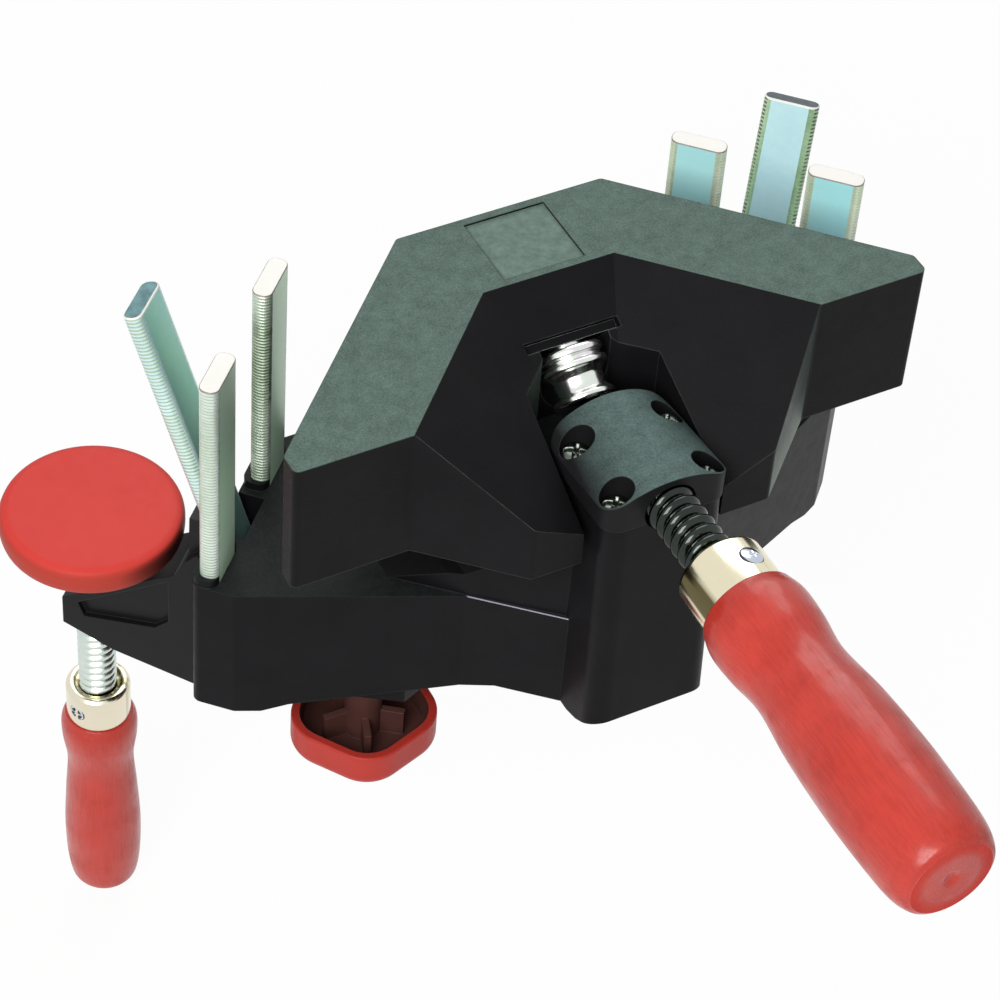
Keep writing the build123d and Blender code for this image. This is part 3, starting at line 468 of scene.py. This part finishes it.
def lacquered(name, colour, deep, worn, along):
    """Red lacquer over turned hardwood: grain that shows through as fine dents along the handle, darker where
    the lacquer lies thick, dull where hands have rubbed it, with a soft clear coat."""
    finish = Finish(name, colour, 0.36, Coat_Roughness=0.16, Coat_IOR=1.45, Specular_IOR_Level=0.25)
    streak = finish.noise(240, detail=6, rough=0.7, stretch=along)
    blotch = finish.noise(46, detail=4, rough=0.62)
    pore = finish.noise(1300, detail=2, rough=0.5, stretch=along)
    rub = finish.noise(85, detail=6, rough=0.7)
    shade = 0.5 * finish.between(streak, 0.42, 0.72) + 0.5 * finish.between(blotch, 0.42, 0.7)
    surface = finish.blend(shade, colour, deep)
    surface = finish.blend(finish.between(rub, 0.6, 0.72, 0, 0.55), surface, worn)
    rough = 0.30 + 0.16 * finish.between(streak, 0.4, 0.7) + 0.12 * finish.between(rub, 0.45, 0.7)
    finish.feed("Base Color", surface)
    finish.feed("Roughness", rough)
    finish.feed("Coat Weight", finish.between(rub, 0.4, 0.7, 0.45, 0.15))
    dents = 0.6 * streak + 0.4 * blotch + finish.between(pore, 0.6, 0.7) * -0.6
    finish.relief(dents, 0.09, 0.55)
    return finish.material


# Materials: patches that lie over a moulding, mostly painted light and shade. Each gives its share and its
# colour
# The ledge's bright line is a painted highlight.
LEDGE_LEVEL, LEDGE_LEFT, LEDGE_RIGHT = 49.8, -41.8, -19.2
LEDGE_WAY, LEDGE_BRINK = (-0.668, -0.744, 0), 79.5
LEDGE_HIGHLIGHT = (0.50, 0.49, 0.62)

RECESS_LEVEL, RECESS_HALF, RECESS_FRONT, RECESS_REAR = 126.9, 13.0, -28.0, -2.5
RECESS_MARGIN = 0.25
RECESS_DEEP, RECESS_PALE = (0.115, 0.168, 0.142), (0.165, 0.240, 0.205)
FLANK_WAY, FLANK_LOW, FLANK_HIGH = (0.684, -0.729, 0), 80, 100
FLANK_PAINTED_LIGHT = (0.17, 0.22, 0.17)

HOLLOW_RADIUS, HOLLOW_FLOOR, HOLLOW_RIM, HUB_RADIUS = 20.4, -30.05, -19.55, 6.4
HOLLOW_SHADE = (0.085, 0.034, 0.028)

RIM_SHADED_WAY = (0.631, -0.775, 0)
RIM_SHADE_RED, RIM_SHADED = (0.42, 0.045, 0.030), (0.030, 0.010, 0.008)


def lit_ledge(finish):
    """The narrow ledge below the throat's left side, with a thin painted highlight along it."""
    span = finish.slab("X", LEDGE_LEFT, LEDGE_RIGHT, 0.3)
    brink = finish.above(finish.dot(finish.place, LEDGE_WAY), LEDGE_BRINK, 0.1)
    level = finish.slab("Z", LEDGE_LEVEL - 0.175, LEDGE_LEVEL + 0.175, 0.025) * brink
    return span * level * finish.between(finish.facing(UP), 0.9, 0.95), LEDGE_HIGHLIGHT


def pale_recess_lit_flank(finish):
    """The floor of the shallow recess on the jaw's top, paler and mottled, and the flank under the right arm
    lightened with painted light, most at its foot."""
    deep = finish.slab("Z", RECESS_LEVEL - 0.075, RECESS_LEVEL + 0.075, 0.025)
    across = finish.slab("X", -RECESS_HALF - RECESS_MARGIN, RECESS_HALF + RECESS_MARGIN, 0.05)
    near = across * finish.slab("Y", RECESS_FRONT - RECESS_MARGIN, RECESS_REAR + RECESS_MARGIN, 0.05)
    mottle = finish.between(finish.noise(300, detail=5, rough=0.7), 0.36, 0.66)
    floor_colour = finish.blend(mottle, RECESS_DEEP, RECESS_PALE)
    # Painted light: the flank under the right arm, lightest low down.
    turned_in = finish.between(finish.facing(FLANK_WAY), 0.995, 0.999)
    flank = turned_in * finish.between(finish.along("Z"), FLANK_LOW * MM, FLANK_HIGH * MM, 1.0, 0.25)
    return deep * near + flank, finish.blend(flank, floor_colour, FLANK_PAINTED_LIGHT)


def knob_hollow(finish):
    """The inside of the knob and its hub, darkened with painted shade: near its axis, above its floor, below
    its rim.
    """
    east, north = finish.along("X") - KNOB_AT[0] * MM, finish.along("Y") - KNOB_AT[1] * MM
    reach = (east * east + north * north) ** 0.5
    inside = finish.below(reach, HOLLOW_RADIUS, 0.2) * finish.above(finish.along("Z"), HOLLOW_FLOOR, 0.15)
    hub = finish.below(reach, HUB_RADIUS, 0.2)
    low = finish.below(finish.along("Z"), HOLLOW_RIM, 0.15)
    return inside * finish.between(hub + low, 0.0, 1.0), HOLLOW_SHADE


def pad_rim(finish):
    """The pad's rim in painted shade: darker than its top, and darkest on the side that stands against the
    base.
    """
    rim = finish.between(finish.facing(UP), 0.25, 0.9, 1.0, 0.0)
    shaded = finish.between(finish.facing(RIM_SHADED_WAY), 0.70, 1.0)
    return rim, finish.blend(shaded, RIM_SHADE_RED, RIM_SHADED)


# Materials: black mouldings
BLACK = (0.0068, 0.0062, 0.0070)
BLACK_CLOUD = (0.0088, 0.0081, 0.0091)
# Edge colour of the black mouldings: partly rubbed wear, partly a painted highlight.
RUBBED_LIT_EDGE = (0.026, 0.028, 0.028)
# Painted sheen: each top colour below lightens the faces that lie level; on the cap it leans a little towards
# +X across the crown.
base_plastic = moulded(
    "base_moulding", BLACK, BLACK_CLOUD, RUBBED_LIT_EDGE, 0.38, top=(0.015, 0.0168, 0.0168), patch=lit_ledge,
)
jaw_plastic = moulded(
    "jaw_moulding", BLACK, BLACK_CLOUD, (0.07, 0.09, 0.08), 0.44, 0.09, edge=0.6, top=(0.096, 0.143, 0.122),
    patch=pale_recess_lit_flank,
)
cap_plastic = moulded(
    "cap_moulding", (0.0105, 0.010, 0.011), (0.013, 0.0125, 0.0135), (0.03, 0.034, 0.034), 0.42, 0.04,
    top=(0.088, 0.134, 0.124), level_from=0.66, up=(0.10, 0, 0.995),
)
bracket_plastic = moulded(
    "bracket_moulding", (0.008, 0.0075, 0.008), (0.010, 0.0095, 0.010), RUBBED_LIT_EDGE, 0.34, specular=0.12,
)
plate_coating = moulded(
    "plate_coating", BLACK, BLACK_CLOUD, (0.5, 0.55, 0.5), 0.42, 0.02, specular=0.04, edge=0.3,
)

# Materials: red mouldings and lacquer
FIRE, DEEP, DULL = (0.55, 0.042, 0.026), (0.33, 0.020, 0.013), (0.30, 0.036, 0.024)
handle_lacquer = lacquered("handle_lacquer", FIRE, DEEP, DULL, (6, 0.35, 6))
small_lacquer = lacquered("small_lacquer", (0.50, 0.040, 0.026), (0.37, 0.026, 0.016), DULL, (6, 6, 0.35))
pad_red = moulded(
    "pad_moulding", (0.62, 0.050, 0.040), (0.64, 0.054, 0.044), (0.64, 0.08, 0.06), 0.46, 0.04, 0.12,
    patch=pad_rim,
)
knob_red = moulded(
    "knob_moulding", (0.41, 0.032, 0.022), (0.45, 0.037, 0.026), (0.50, 0.06, 0.045), 0.40, 0.04, 0.2,
    patch=knob_hollow,
)


# Materials: zinc of the flat bars


def bar_face(name, colour, tint, roughness, metallic, spread=22):
    """Wide side of a bar, with polishing lines across it."""
    return plated(name, colour, tint, roughness, (0.3, 0.3, 4), metallic, spread)


def bar_edge(name, colour, tint, metallic, spread):
    """Narrow edge of a bar, with finer lines across it."""
    return plated(name, colour, tint, 0.28, (0.2, 0.2, 4), metallic, spread)


face_zincs = {
    "left": bar_face("left_face_zinc", (0.60, 0.96, 0.66), (0.76, 0.98, 0.74), 0.34, 0.25),
    "right": bar_face("right_face_zinc", (0.43, 0.91, 0.95), (0.54, 0.95, 0.93), 0.42, 0.1),
}
leaning_zincs = {
    "left": bar_face("left_leaning_zinc", (0.29, 0.60, 0.56), (0.40, 0.68, 0.58), 0.34, 0.5),
    "right": bar_face("right_leaning_zinc", (0.48, 0.72, 0.79), (0.62, 0.84, 0.80), 0.42, 0.1, 16),
}
lime_edge = bar_edge("lime_edge_zinc", (0.52, 0.66, 0.44), (0.76, 0.84, 0.66), 0.2, 34)
pale_edge = bar_edge("pale_edge_zinc", (0.50, 0.60, 0.50), (0.82, 0.88, 0.88), 0.35, 34)
cool_edge = bar_edge("cool_edge_zinc", (0.50, 0.72, 0.72), (0.66, 0.84, 0.84), 0.35, 34)
deep_edge = bar_edge("deep_edge_zinc", (0.10, 0.15, 0.08), (0.58, 0.66, 0.56), 0.35, 60)
moss_edge = bar_edge("moss_edge_zinc", (0.22, 0.36, 0.18), (0.46, 0.60, 0.40), 0.25, 60)
bar_lid = plated("bar_lid_zinc", (0.86, 0.845, 0.79), (0.83, 0.81, 0.75), 0.45, metallic=0.0, spread=60)
bar_seam = plated("bar_seam_zinc", (0.20, 0.16, 0.15), (0.30, 0.24, 0.20), 0.40, metallic=0.2, spread=60)
# The gap colours are painted shade in the valleys between the bars' teeth.
bar_gap_shade = plated("bar_gap_zinc", (0.34, 0.42, 0.30), (0.46, 0.54, 0.42), 0.40, metallic=0.2, spread=60)
sawn_gap_shade = plated("sawn_gap_zinc", (0.02, 0.04, 0.025), (0.06, 0.10, 0.06), 0.40, metallic=0.2, spread=60)
left_sawn = plated("left_sawn_zinc", (0.07, 0.16, 0.17), (0.17, 0.34, 0.36), 0.42, metallic=0.1, spread=300)
right_sawn = plated("right_sawn_zinc", (0.012, 0.022, 0.028), (0.07, 0.10, 0.11), 0.5, metallic=0, spread=400)
sawn_ends = {"left": left_sawn, "right": right_sawn}

# Materials: plated and bare metal of the other pieces
# Dark bands on the ferrules: a painted reflection of dark things around them.
DARK_REFLECTION_BAND = (0.13, 0.11, 0.05)
screw_zinc = plated("screw_zinc", (0.70, 0.76, 0.70), (0.52, 0.62, 0.55), 0.26)
# A darker copy of the screw zinc: painted shade on the cap screws down in their counterbores.
shaded_screw_zinc = plated("sunk_screw_zinc", (0.16, 0.18, 0.155), (0.07, 0.08, 0.07), 0.30)
ferrule_zinc = plated(
    "ferrule_zinc", (0.84, 0.75, 0.54), (0.76, 0.71, 0.52), 0.17, (4, 0.4, 4), spread=20,
    reflection_bands=(DARK_REFLECTION_BAND, (1, 0.03, 1), 0.52, 0.60),
)
small_ferrule_zinc = plated(
    "small_ferrule_zinc", (0.84, 0.75, 0.58), (0.76, 0.71, 0.56), 0.17, (4, 4, 0.4), spread=20,
    reflection_bands=(DARK_REFLECTION_BAND, (1, 1, 0.03), 0.54, 0.62),
)
rivet_silver = plated("rivet_silver", (0.66, 0.69, 0.78), (0.50, 0.55, 0.62), 0.16)
# Painted shade for the rims and recesses of the rivet heads.
rivet_rim_shade = plated("rivet_rim_steel", (0.045, 0.05, 0.06), (0.08, 0.085, 0.10), 0.28)
plain_steel = plated("plain_steel", (0.50, 0.50, 0.50), (0.42, 0.42, 0.43), 0.34)
# The chrome's green and pink tints are a painted reflection.
chrome = plated("chrome", (0.74, 0.84, 0.70), (0.80, 0.68, 0.78), 0.20, spread=160)
black_oxide = plated("black_oxide", (0.030, 0.035, 0.032), (0.050, 0.058, 0.052), 0.11)


def stand_in(piece, body, slot, *replaced):
    """Lets a piece ride on a body in place of the solids that it replaces."""
    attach(piece, body)
    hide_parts(*replaced)


# Main spindle: heights run from the ball's centre towards the handle
BALL_RADIUS, BALL_NECK = 5.8, 35.9
MAIN_PITCH, MAIN_CREST, MAIN_ROOT = 4.0, 7.5, 5.55
ball_arc = np.radians(np.linspace(0, 180 - BALL_NECK, 26))
ball = BALL_RADIUS * np.stack([np.sin(ball_arc), -np.cos(ball_arc)], -1)
spindle_start = np.vstack([ball, [(3.4, 5.6), (3.4, 11.4), (4.4, 12.2), (5.7, 12.9)]])
spindle_end = [(7.0, 79.8), (5.0, 79.9), (5.0, 147.4)]
spindle = threaded(
    "main_thread", spindle_start, (MAIN_CREST, 13.0, 79.6), spindle_end, MAIN_PITCH, MAIN_ROOT, BALL_AT,
    FORWARD, black_oxide, 112,
)
stand_in(spindle, "spindle", "spindle_black", "main_spindle")

# Main ferrule: a raised lip at its rear, then a plain sleeve
FERRULE_START, FERRULE_END = 78.5, 95.7
FERRULE_RADIUS, FERRULE_WALL = 13.0, 1.3
ferrule_bore = FERRULE_RADIUS - FERRULE_WALL
shell = [
    (7.6, FERRULE_START + 1.3), (8.7, FERRULE_START + 1.2), (9.0, FERRULE_START), (11.4, FERRULE_START),
    (FERRULE_RADIUS, FERRULE_START + 1.5), (FERRULE_RADIUS, FERRULE_END), (ferrule_bore, FERRULE_END),
    (ferrule_bore, FERRULE_START + 1.6), (7.6, FERRULE_START + 1.6),
]
ferrule = turned("main_collar", rounded(shell, 0.7, 5), BALL_AT, FORWARD, ferrule_zinc, 160, ring=True)
stand_in(ferrule, "spindle", "ferrule_zinc", "main_ferrule")

# Main rivet, through ferrule and handle: a shallow recess, and a rim of painted shade from row 15 of the head
# on
RIVET_AT = (0, -140.2, SPINDLE_Z)
RIVET_TURN = math.radians(18)
rivet_axis = np.array([math.sin(RIVET_TURN), 0, math.cos(RIVET_TURN)])
rivet_shank = [(3.2, 12.0), (3.1, 0.1)]
rivet_rows = DOME_POINTS + len(rivet_shank) - 1
rivet = riveted(
    "main_pin", RIVET_AT, rivet_axis, (0, 1, 0), dome(3.7, 12.35, 1.35), rivet_shank, (0.4, 1.2, 0.12),
    rivet_silver, rivet_rim_shade, range(15, rivet_rows),
)
stand_in(rivet, "spindle", "rivet_silver", "main_rivet")

# Main handle: collar, neck, barrel and rounded end with a dimple
HANDLE_START = 95.75
grip_keys = [
    (14.35, HANDLE_START), (15.6, 101.5), (15.3, 110.5), (14.0, 123.0), (15.8, 141.0), (16.6, 162.0),
    (16.3, 180.0), (15.6, 189.5), (14.0, 194.6), (12.2, 196.2),
]
grip = smooth_profile(grip_keys, 150)
grip_end = rounded([grip[-1], (7.0, 196.28), (2.6, 196.1), (1.3, 195.4), (0.01, 195.1)], 1.0, 5)
grip_start = [(0.01, HANDLE_START), (13.6, HANDLE_START)]
handle = turned("main_grip", np.vstack([grip_start, grip, grip_end]), BALL_AT, FORWARD, handle_lacquer, 160)
stand_in(handle, "spindle", "handle_red", "main_handle")

# Swivel cup, about its tilted axis: heights run from the ball's centre towards the head
CUP_TILT = math.radians(36)
SOCKET_RADIUS = 5.86
cup_axis = (0, math.cos(CUP_TILT), math.sin(CUP_TILT))
socket_arc = np.radians(np.linspace(0.2, 104.8, 24))
socket = SOCKET_RADIUS * np.stack([np.sin(socket_arc), np.cos(socket_arc)], -1)
cup_rings = [
    (5.66, -1.5), (7.7, -4.6), (8.6, -5.0), (9.3, -4.2), (9.3, -2.9), (7.9, -2.0), (7.5, -0.5), (7.7, 2.4),
    (9.2, 4.2), (10.3, 5.0), (10.3, 6.3), (9.2, 6.9), (9.2, 8.0), (10.3, 8.6), (10.3, 10.1), (9.4, 11.0),
    (5.0, 11.0), (5.0, 14.9), (0.01, 14.9),
]
cup_outline = np.vstack([socket, rounded(cup_rings, 0.5, 5)])
cup = turned("ringed_cup", cup_outline, BALL_AT, cup_axis, chrome, 144)
stand_in(cup, "jaw", "cup_chrome", "swivel_cup")

# Table screw: from here on, heights are levels over the origin
TABLE_BALL_RADIUS, TABLE_BALL_NECK, TABLE_BALL_Z = 5, 39.8, 24.2
TABLE_PITCH, TABLE_CREST, TABLE_ROOT = 3.0, 6.0, 4.75
small_arc = np.radians(np.linspace(0, 180 - TABLE_BALL_NECK, 20))[::-1]
small_ball = (0, TABLE_BALL_Z) + TABLE_BALL_RADIUS * np.stack([np.sin(small_arc), np.cos(small_arc)], -1)
table_start = [(4.0, -94.9), (4.0, -44.3), (5.2, -44.2)]
table_end = np.vstack([[(5.2, 15.6), (3.2, 16.0)], small_ball])
screw = threaded(
    "table_thread", table_start, (TABLE_CREST, -44.0, 15.4), table_end, TABLE_PITCH, TABLE_ROOT, SCREW_AT, UP,
    screw_zinc,
)
stand_in(screw, "table_screw", "screw_zinc", "table_spindle")

# Round pad on the table screw's ball
pad_profile = [
    (0.01, 29.4), (5.05, 24.2), (5.05, 19.0), (10.5, 19.0), (10.5, 25.5), (26.2, 25.5), (27.4, 26.2),
    (27.97, 28.6), (27.97, 32.0), (27.2, 34.1), (25.2, 35.0), (0.01, 35.0),
]
pad = turned("round_pad", rounded(pad_profile, 0.9, 6), SCREW_AT, UP, pad_red, 180)
stand_in(pad, "pad", "pad_red", "table_pad")

# Table ferrule: a raised lip on its top, then a plain sleeve, open below
small_shell = [
    (6.1, -44.1), (7.3, -44.0), (7.6, -43.0), (9.0, -43.0), (10.2, -44.2), (10.2, -56.5), (9.0, -56.5),
    (9.0, -44.4), (6.1, -44.4),
]
small_ferrule = turned(
    "table_collar", rounded(small_shell, 0.6, 5), SCREW_AT, UP, small_ferrule_zinc, ring=True,
)
stand_in(small_ferrule, "table_screw", "ferrule_zinc", "table_ferrule")

# Table rivet: a deep recess, with painted shade on its flanks, and a rim of painted shade from row 16 of the
# head on
SMALL_RIVET_Z = -50.2
SMALL_RIVET_TURN = math.radians(65)
small_rivet_at = (SCREW_AT[0], SCREW_AT[1], SMALL_RIVET_Z)
small_rivet_axis = np.array([-math.sin(SMALL_RIVET_TURN), -math.cos(SMALL_RIVET_TURN), 0])
small_rivet_shank = [(2.4, 9.4), (2.3, 0.1)]
small_rivet = riveted(
    "table_pin", small_rivet_at, small_rivet_axis, UP, dome(3.0, 9.65, 0.9), small_rivet_shank,
    (0.5, 2.3, 0.7), rivet_silver, rivet_rim_shade, [*range(4, 11), *range(16, rivet_rows)],
)
stand_in(small_rivet, "table_screw", "rivet_silver", "table_rivet")

# Table handle, smaller and slimmer than the main one
SMALL_START = -56.6
small_keys = [
    (10.7, SMALL_START), (12.0, -60.5), (11.9, -67.0), (10.6, -78.5), (11.5, -93.5), (12.3, -110.0),
    (12.0, -124.5), (11.0, -133.6), (9.8, -136.6), (8.7, -137.2),
]
small_grip = smooth_profile(small_keys, 120)
small_end = rounded([small_grip[-1], (4.0, -137.35), (1.2, -137.2), (0.01, -137.0)], 0.8, 4)
small_outline = np.vstack([[(0.01, SMALL_START), (10.0, SMALL_START)], small_grip, small_end])
small_handle = turned("table_grip", small_outline, SCREW_AT, UP, small_lacquer)
stand_in(small_handle, "table_screw", "handle_red", "table_handle")

# Screws of the cap: pan heads with a cross recess, sunk in their counterbores, in a zinc darkened with
# painted shade
cap_screws_at = [(x, y, 0) for x in (-14.4, 14.4) for y in (-99.6, -76.8)]
pan = rounded([(0.2, 104.6), (1.5, 104.55), (3.2, 104.25), (4.3, 103.3), (4.5, 102.2), (4.5, 101.6)], 0.8, 5)
shank = [(4.4, 101.6), (2.0, 101.5), (2.0, 82.0)]
cap_grids = crossed(cap_screws_at, UP, (0.6, 0.8, 0), pan, shank, (0.7, 3.1, 1.6))
cap_screws = grid_mesh("cap_cross_screws", cap_grids, shaded_screw_zinc)
stand_in(cap_screws, "base", "screw_zinc", "cap_screws")

# Bars: on each wing two upright ones and, between them, one that leans outwards about its pivot
BAR_T, BAR_PITCH = 52, 21
BAR_FOOT, BAR_TOP = 12, 126.5
PIVOT_Z, LEAN = 30, math.radians(17.8)
LEANING_HEEL, LEANING_LENGTH = 2.9, 103.3
plain_edge = (lime_edge, 0.24)
upright_edges = {"left_rear": (deep_edge, 0.4), "left_front": (pale_edge, 0.16)}
leaning_edges = {"left": (cool_edge, bar_gap_shade, 0.14), "right": (moss_edge, sawn_gap_shade, 0.5)}
for side, word, middle in ((-1, "left", 71.4), (1, "right", 67.2)):
    width_dir = (DIAGONAL, -side * DIAGONAL, 0)
    for station, at in ((middle - BAR_PITCH, "rear"), (middle + BAR_PITCH, "front")):
        edge, bite = upright_edges.get(f"{word}_{at}", plain_edge)
        finishes = (face_zincs[word], edge, bar_lid, bar_seam, bar_gap_shade)
        foot = wing(BAR_T, station, BAR_FOOT, side)
        bar = flat_bar(f"{word}_{at}_bar", foot, width_dir, UP, BAR_TOP - BAR_FOOT, finishes, bite)
        stand_in(bar, "base", "bar_zinc", f"{word}_{at}_stop")
    edge, gap, bite = leaning_edges[word]
    finishes = (leaning_zincs[word], edge, sawn_ends[word], bar_lid, gap)
    up_dir = (side * math.sin(LEAN) * DIAGONAL, math.sin(LEAN) * DIAGONAL, math.cos(LEAN))
    foot = wing(BAR_T, middle, PIVOT_Z, side) - LEANING_HEEL * np.array(up_dir)
    bar = flat_bar(
        f"{word}_leaning_bar", foot, width_dir, up_dir, LEANING_LENGTH, finishes, bite, brim=0.6, tooth=1.25
    )
    stand_in(bar, f"{word}_stop", "bar_zinc", f"{word}_middle_stop")

# Solids whose shape is right as it is, each with its finish
pivot_pins = ("left_pivot_pin", "right_pivot_pin")
steel_fittings = ("spindle_nut", "bracket_bush", "knob_insert", "pad_retainer")
for names, material in (
    (("base_body",), base_plastic),
    (("clamping_jaw",), jaw_plastic),
    (("bearing_cap",), cap_plastic),
    (("table_bracket",), bracket_plastic),
    (("knob_stud", "knob_washer"), screw_zinc),
    (steel_fittings + pivot_pins, plain_steel),
    (("cup_plate",), plate_coating),
    (("hand_knob",), knob_red),
):
    for name in names:
        mesh = nodes[name].data
        mesh.materials.clear()
        mesh.materials.append(material)

# Studio: floor and air are white to the eye, and light the object at their own plain level
FLOOR_SIZE, FLOOR_DROP = 6, 0.0015
FLOOR_WHITE, FLOOR_SHARE = (0.92, 0.92, 0.92), 0.94
AIR_WHITE, AIR_LIGHT = (0.96, 0.98, 1.0), 0.24


def studio_floor():
    """A wide plain floor just under the object. Straight seen rays meet mostly its white glow."""
    bpy.ops.mesh.primitive_plane_add(size=FLOOR_SIZE, location=(0, 0, cad_box[0][2] - FLOOR_DROP))
    plane = bpy.context.object
    plane.name = "studio_floor"
    finish = Finish("studio_floor", FLOOR_WHITE, 0.9, Specular_IOR_Level=0.0)
    surface = Wire(finish, finish.shader.outputs[0])
    glow = finish.node("ShaderNodeEmission", {}, {"Color": (1, 1, 1, 1), "Strength": 1.0})
    share = finish.seen_straight() * FLOOR_SHARE
    mixed = finish.node("ShaderNodeMixShader", {}, {0: share, 1: surface, 2: glow})
    finish.plug(finish.tree.nodes["Material Output"].inputs["Surface"], mixed)
    plane.data.materials.append(finish.material)
    return plane


def studio_air():
    """The world: full white to straight seen rays, weaker where it lights the object."""
    world = bpy.data.worlds.new("studio_air")
    bpy.context.scene.world = world
    world.use_nodes = True
    air = Graph(world.node_tree)
    background = air.tree.nodes["Background"]
    air.plug(background.inputs["Color"], (*AIR_WHITE, 1))
    air.plug(background.inputs["Strength"], air.between(air.seen_straight(), 0.0, 1.0, AIR_LIGHT, 1.0))


def soft_box(name, place, target, width, height, power):
    """A rectangular lamp at a place, turned to face its target."""
    lamp = bpy.data.lights.new(name, "AREA")
    lamp.shape = "RECTANGLE"
    lamp.size = width
    lamp.size_y = height
    lamp.energy = power
    holder = bpy.data.objects.new(name, lamp)
    bpy.context.collection.objects.link(holder)
    turn = (Vector(target) - Vector(place)).to_track_quat("-Z", "Y")
    holder.matrix_world = Matrix.Translation(Vector(place)) @ turn.to_matrix().to_4x4()


studio_floor()
studio_air()
soft_box("back_right_box", (0.54, 0.90, 1.12), (0, -0.05, 0.09), width=1.15, height=0.95, power=10)
soft_box("front_left_box", (-0.95, -0.95, 1.12), (0, -0.05, 0.08), width=1.0, height=1.0, power=27)

# Camera: the direction and roll in radians, the shift and distance, and the focal length in pixels that the
# photograph's straight edges give
AZIMUTH, ELEVATION, ROLL = 0.5401147, 0.7915725, 0.0825182
ACROSS, UPWARD, DISTANCE = 7.5236, 5.1184, 1091.0639
FOCAL_PIXELS, PHOTO_PIXELS, SENSOR = 3460.7195, 1000, 36


def photo_camera():
    """A camera whose line of sight is turned from +Y to the right by the azimuth and down by the elevation,
    and which is rolled about it."""
    right = np.array([math.cos(AZIMUTH), -math.sin(AZIMUTH), 0.0])
    level = math.cos(ELEVATION)
    look = np.array([math.sin(AZIMUTH) * level, math.cos(AZIMUTH) * level, -math.sin(ELEVATION)])
    above = np.cross(right, look)
    rolled_right = math.cos(ROLL) * right + math.sin(ROLL) * above
    rolled_above = -math.sin(ROLL) * right + math.cos(ROLL) * above
    place = (ACROSS * rolled_right + UPWARD * rolled_above - DISTANCE * look) * MM
    lens = bpy.data.cameras.new("studio_camera")
    lens.sensor_fit = "HORIZONTAL"
    lens.sensor_width = SENSOR
    lens.lens = FOCAL_PIXELS / PHOTO_PIXELS * SENSOR
    camera = bpy.data.objects.new("studio_camera", lens)
    bpy.context.collection.objects.link(camera)
    turn_and_place = np.column_stack([rolled_right, rolled_above, -look, place])
    camera.matrix_world = Matrix(np.vstack([turn_and_place, [0, 0, 0, 1]]).tolist())
    return camera


bpy.context.scene.camera = photo_camera()
bpy.context.scene.view_settings.view_transform = "Standard"
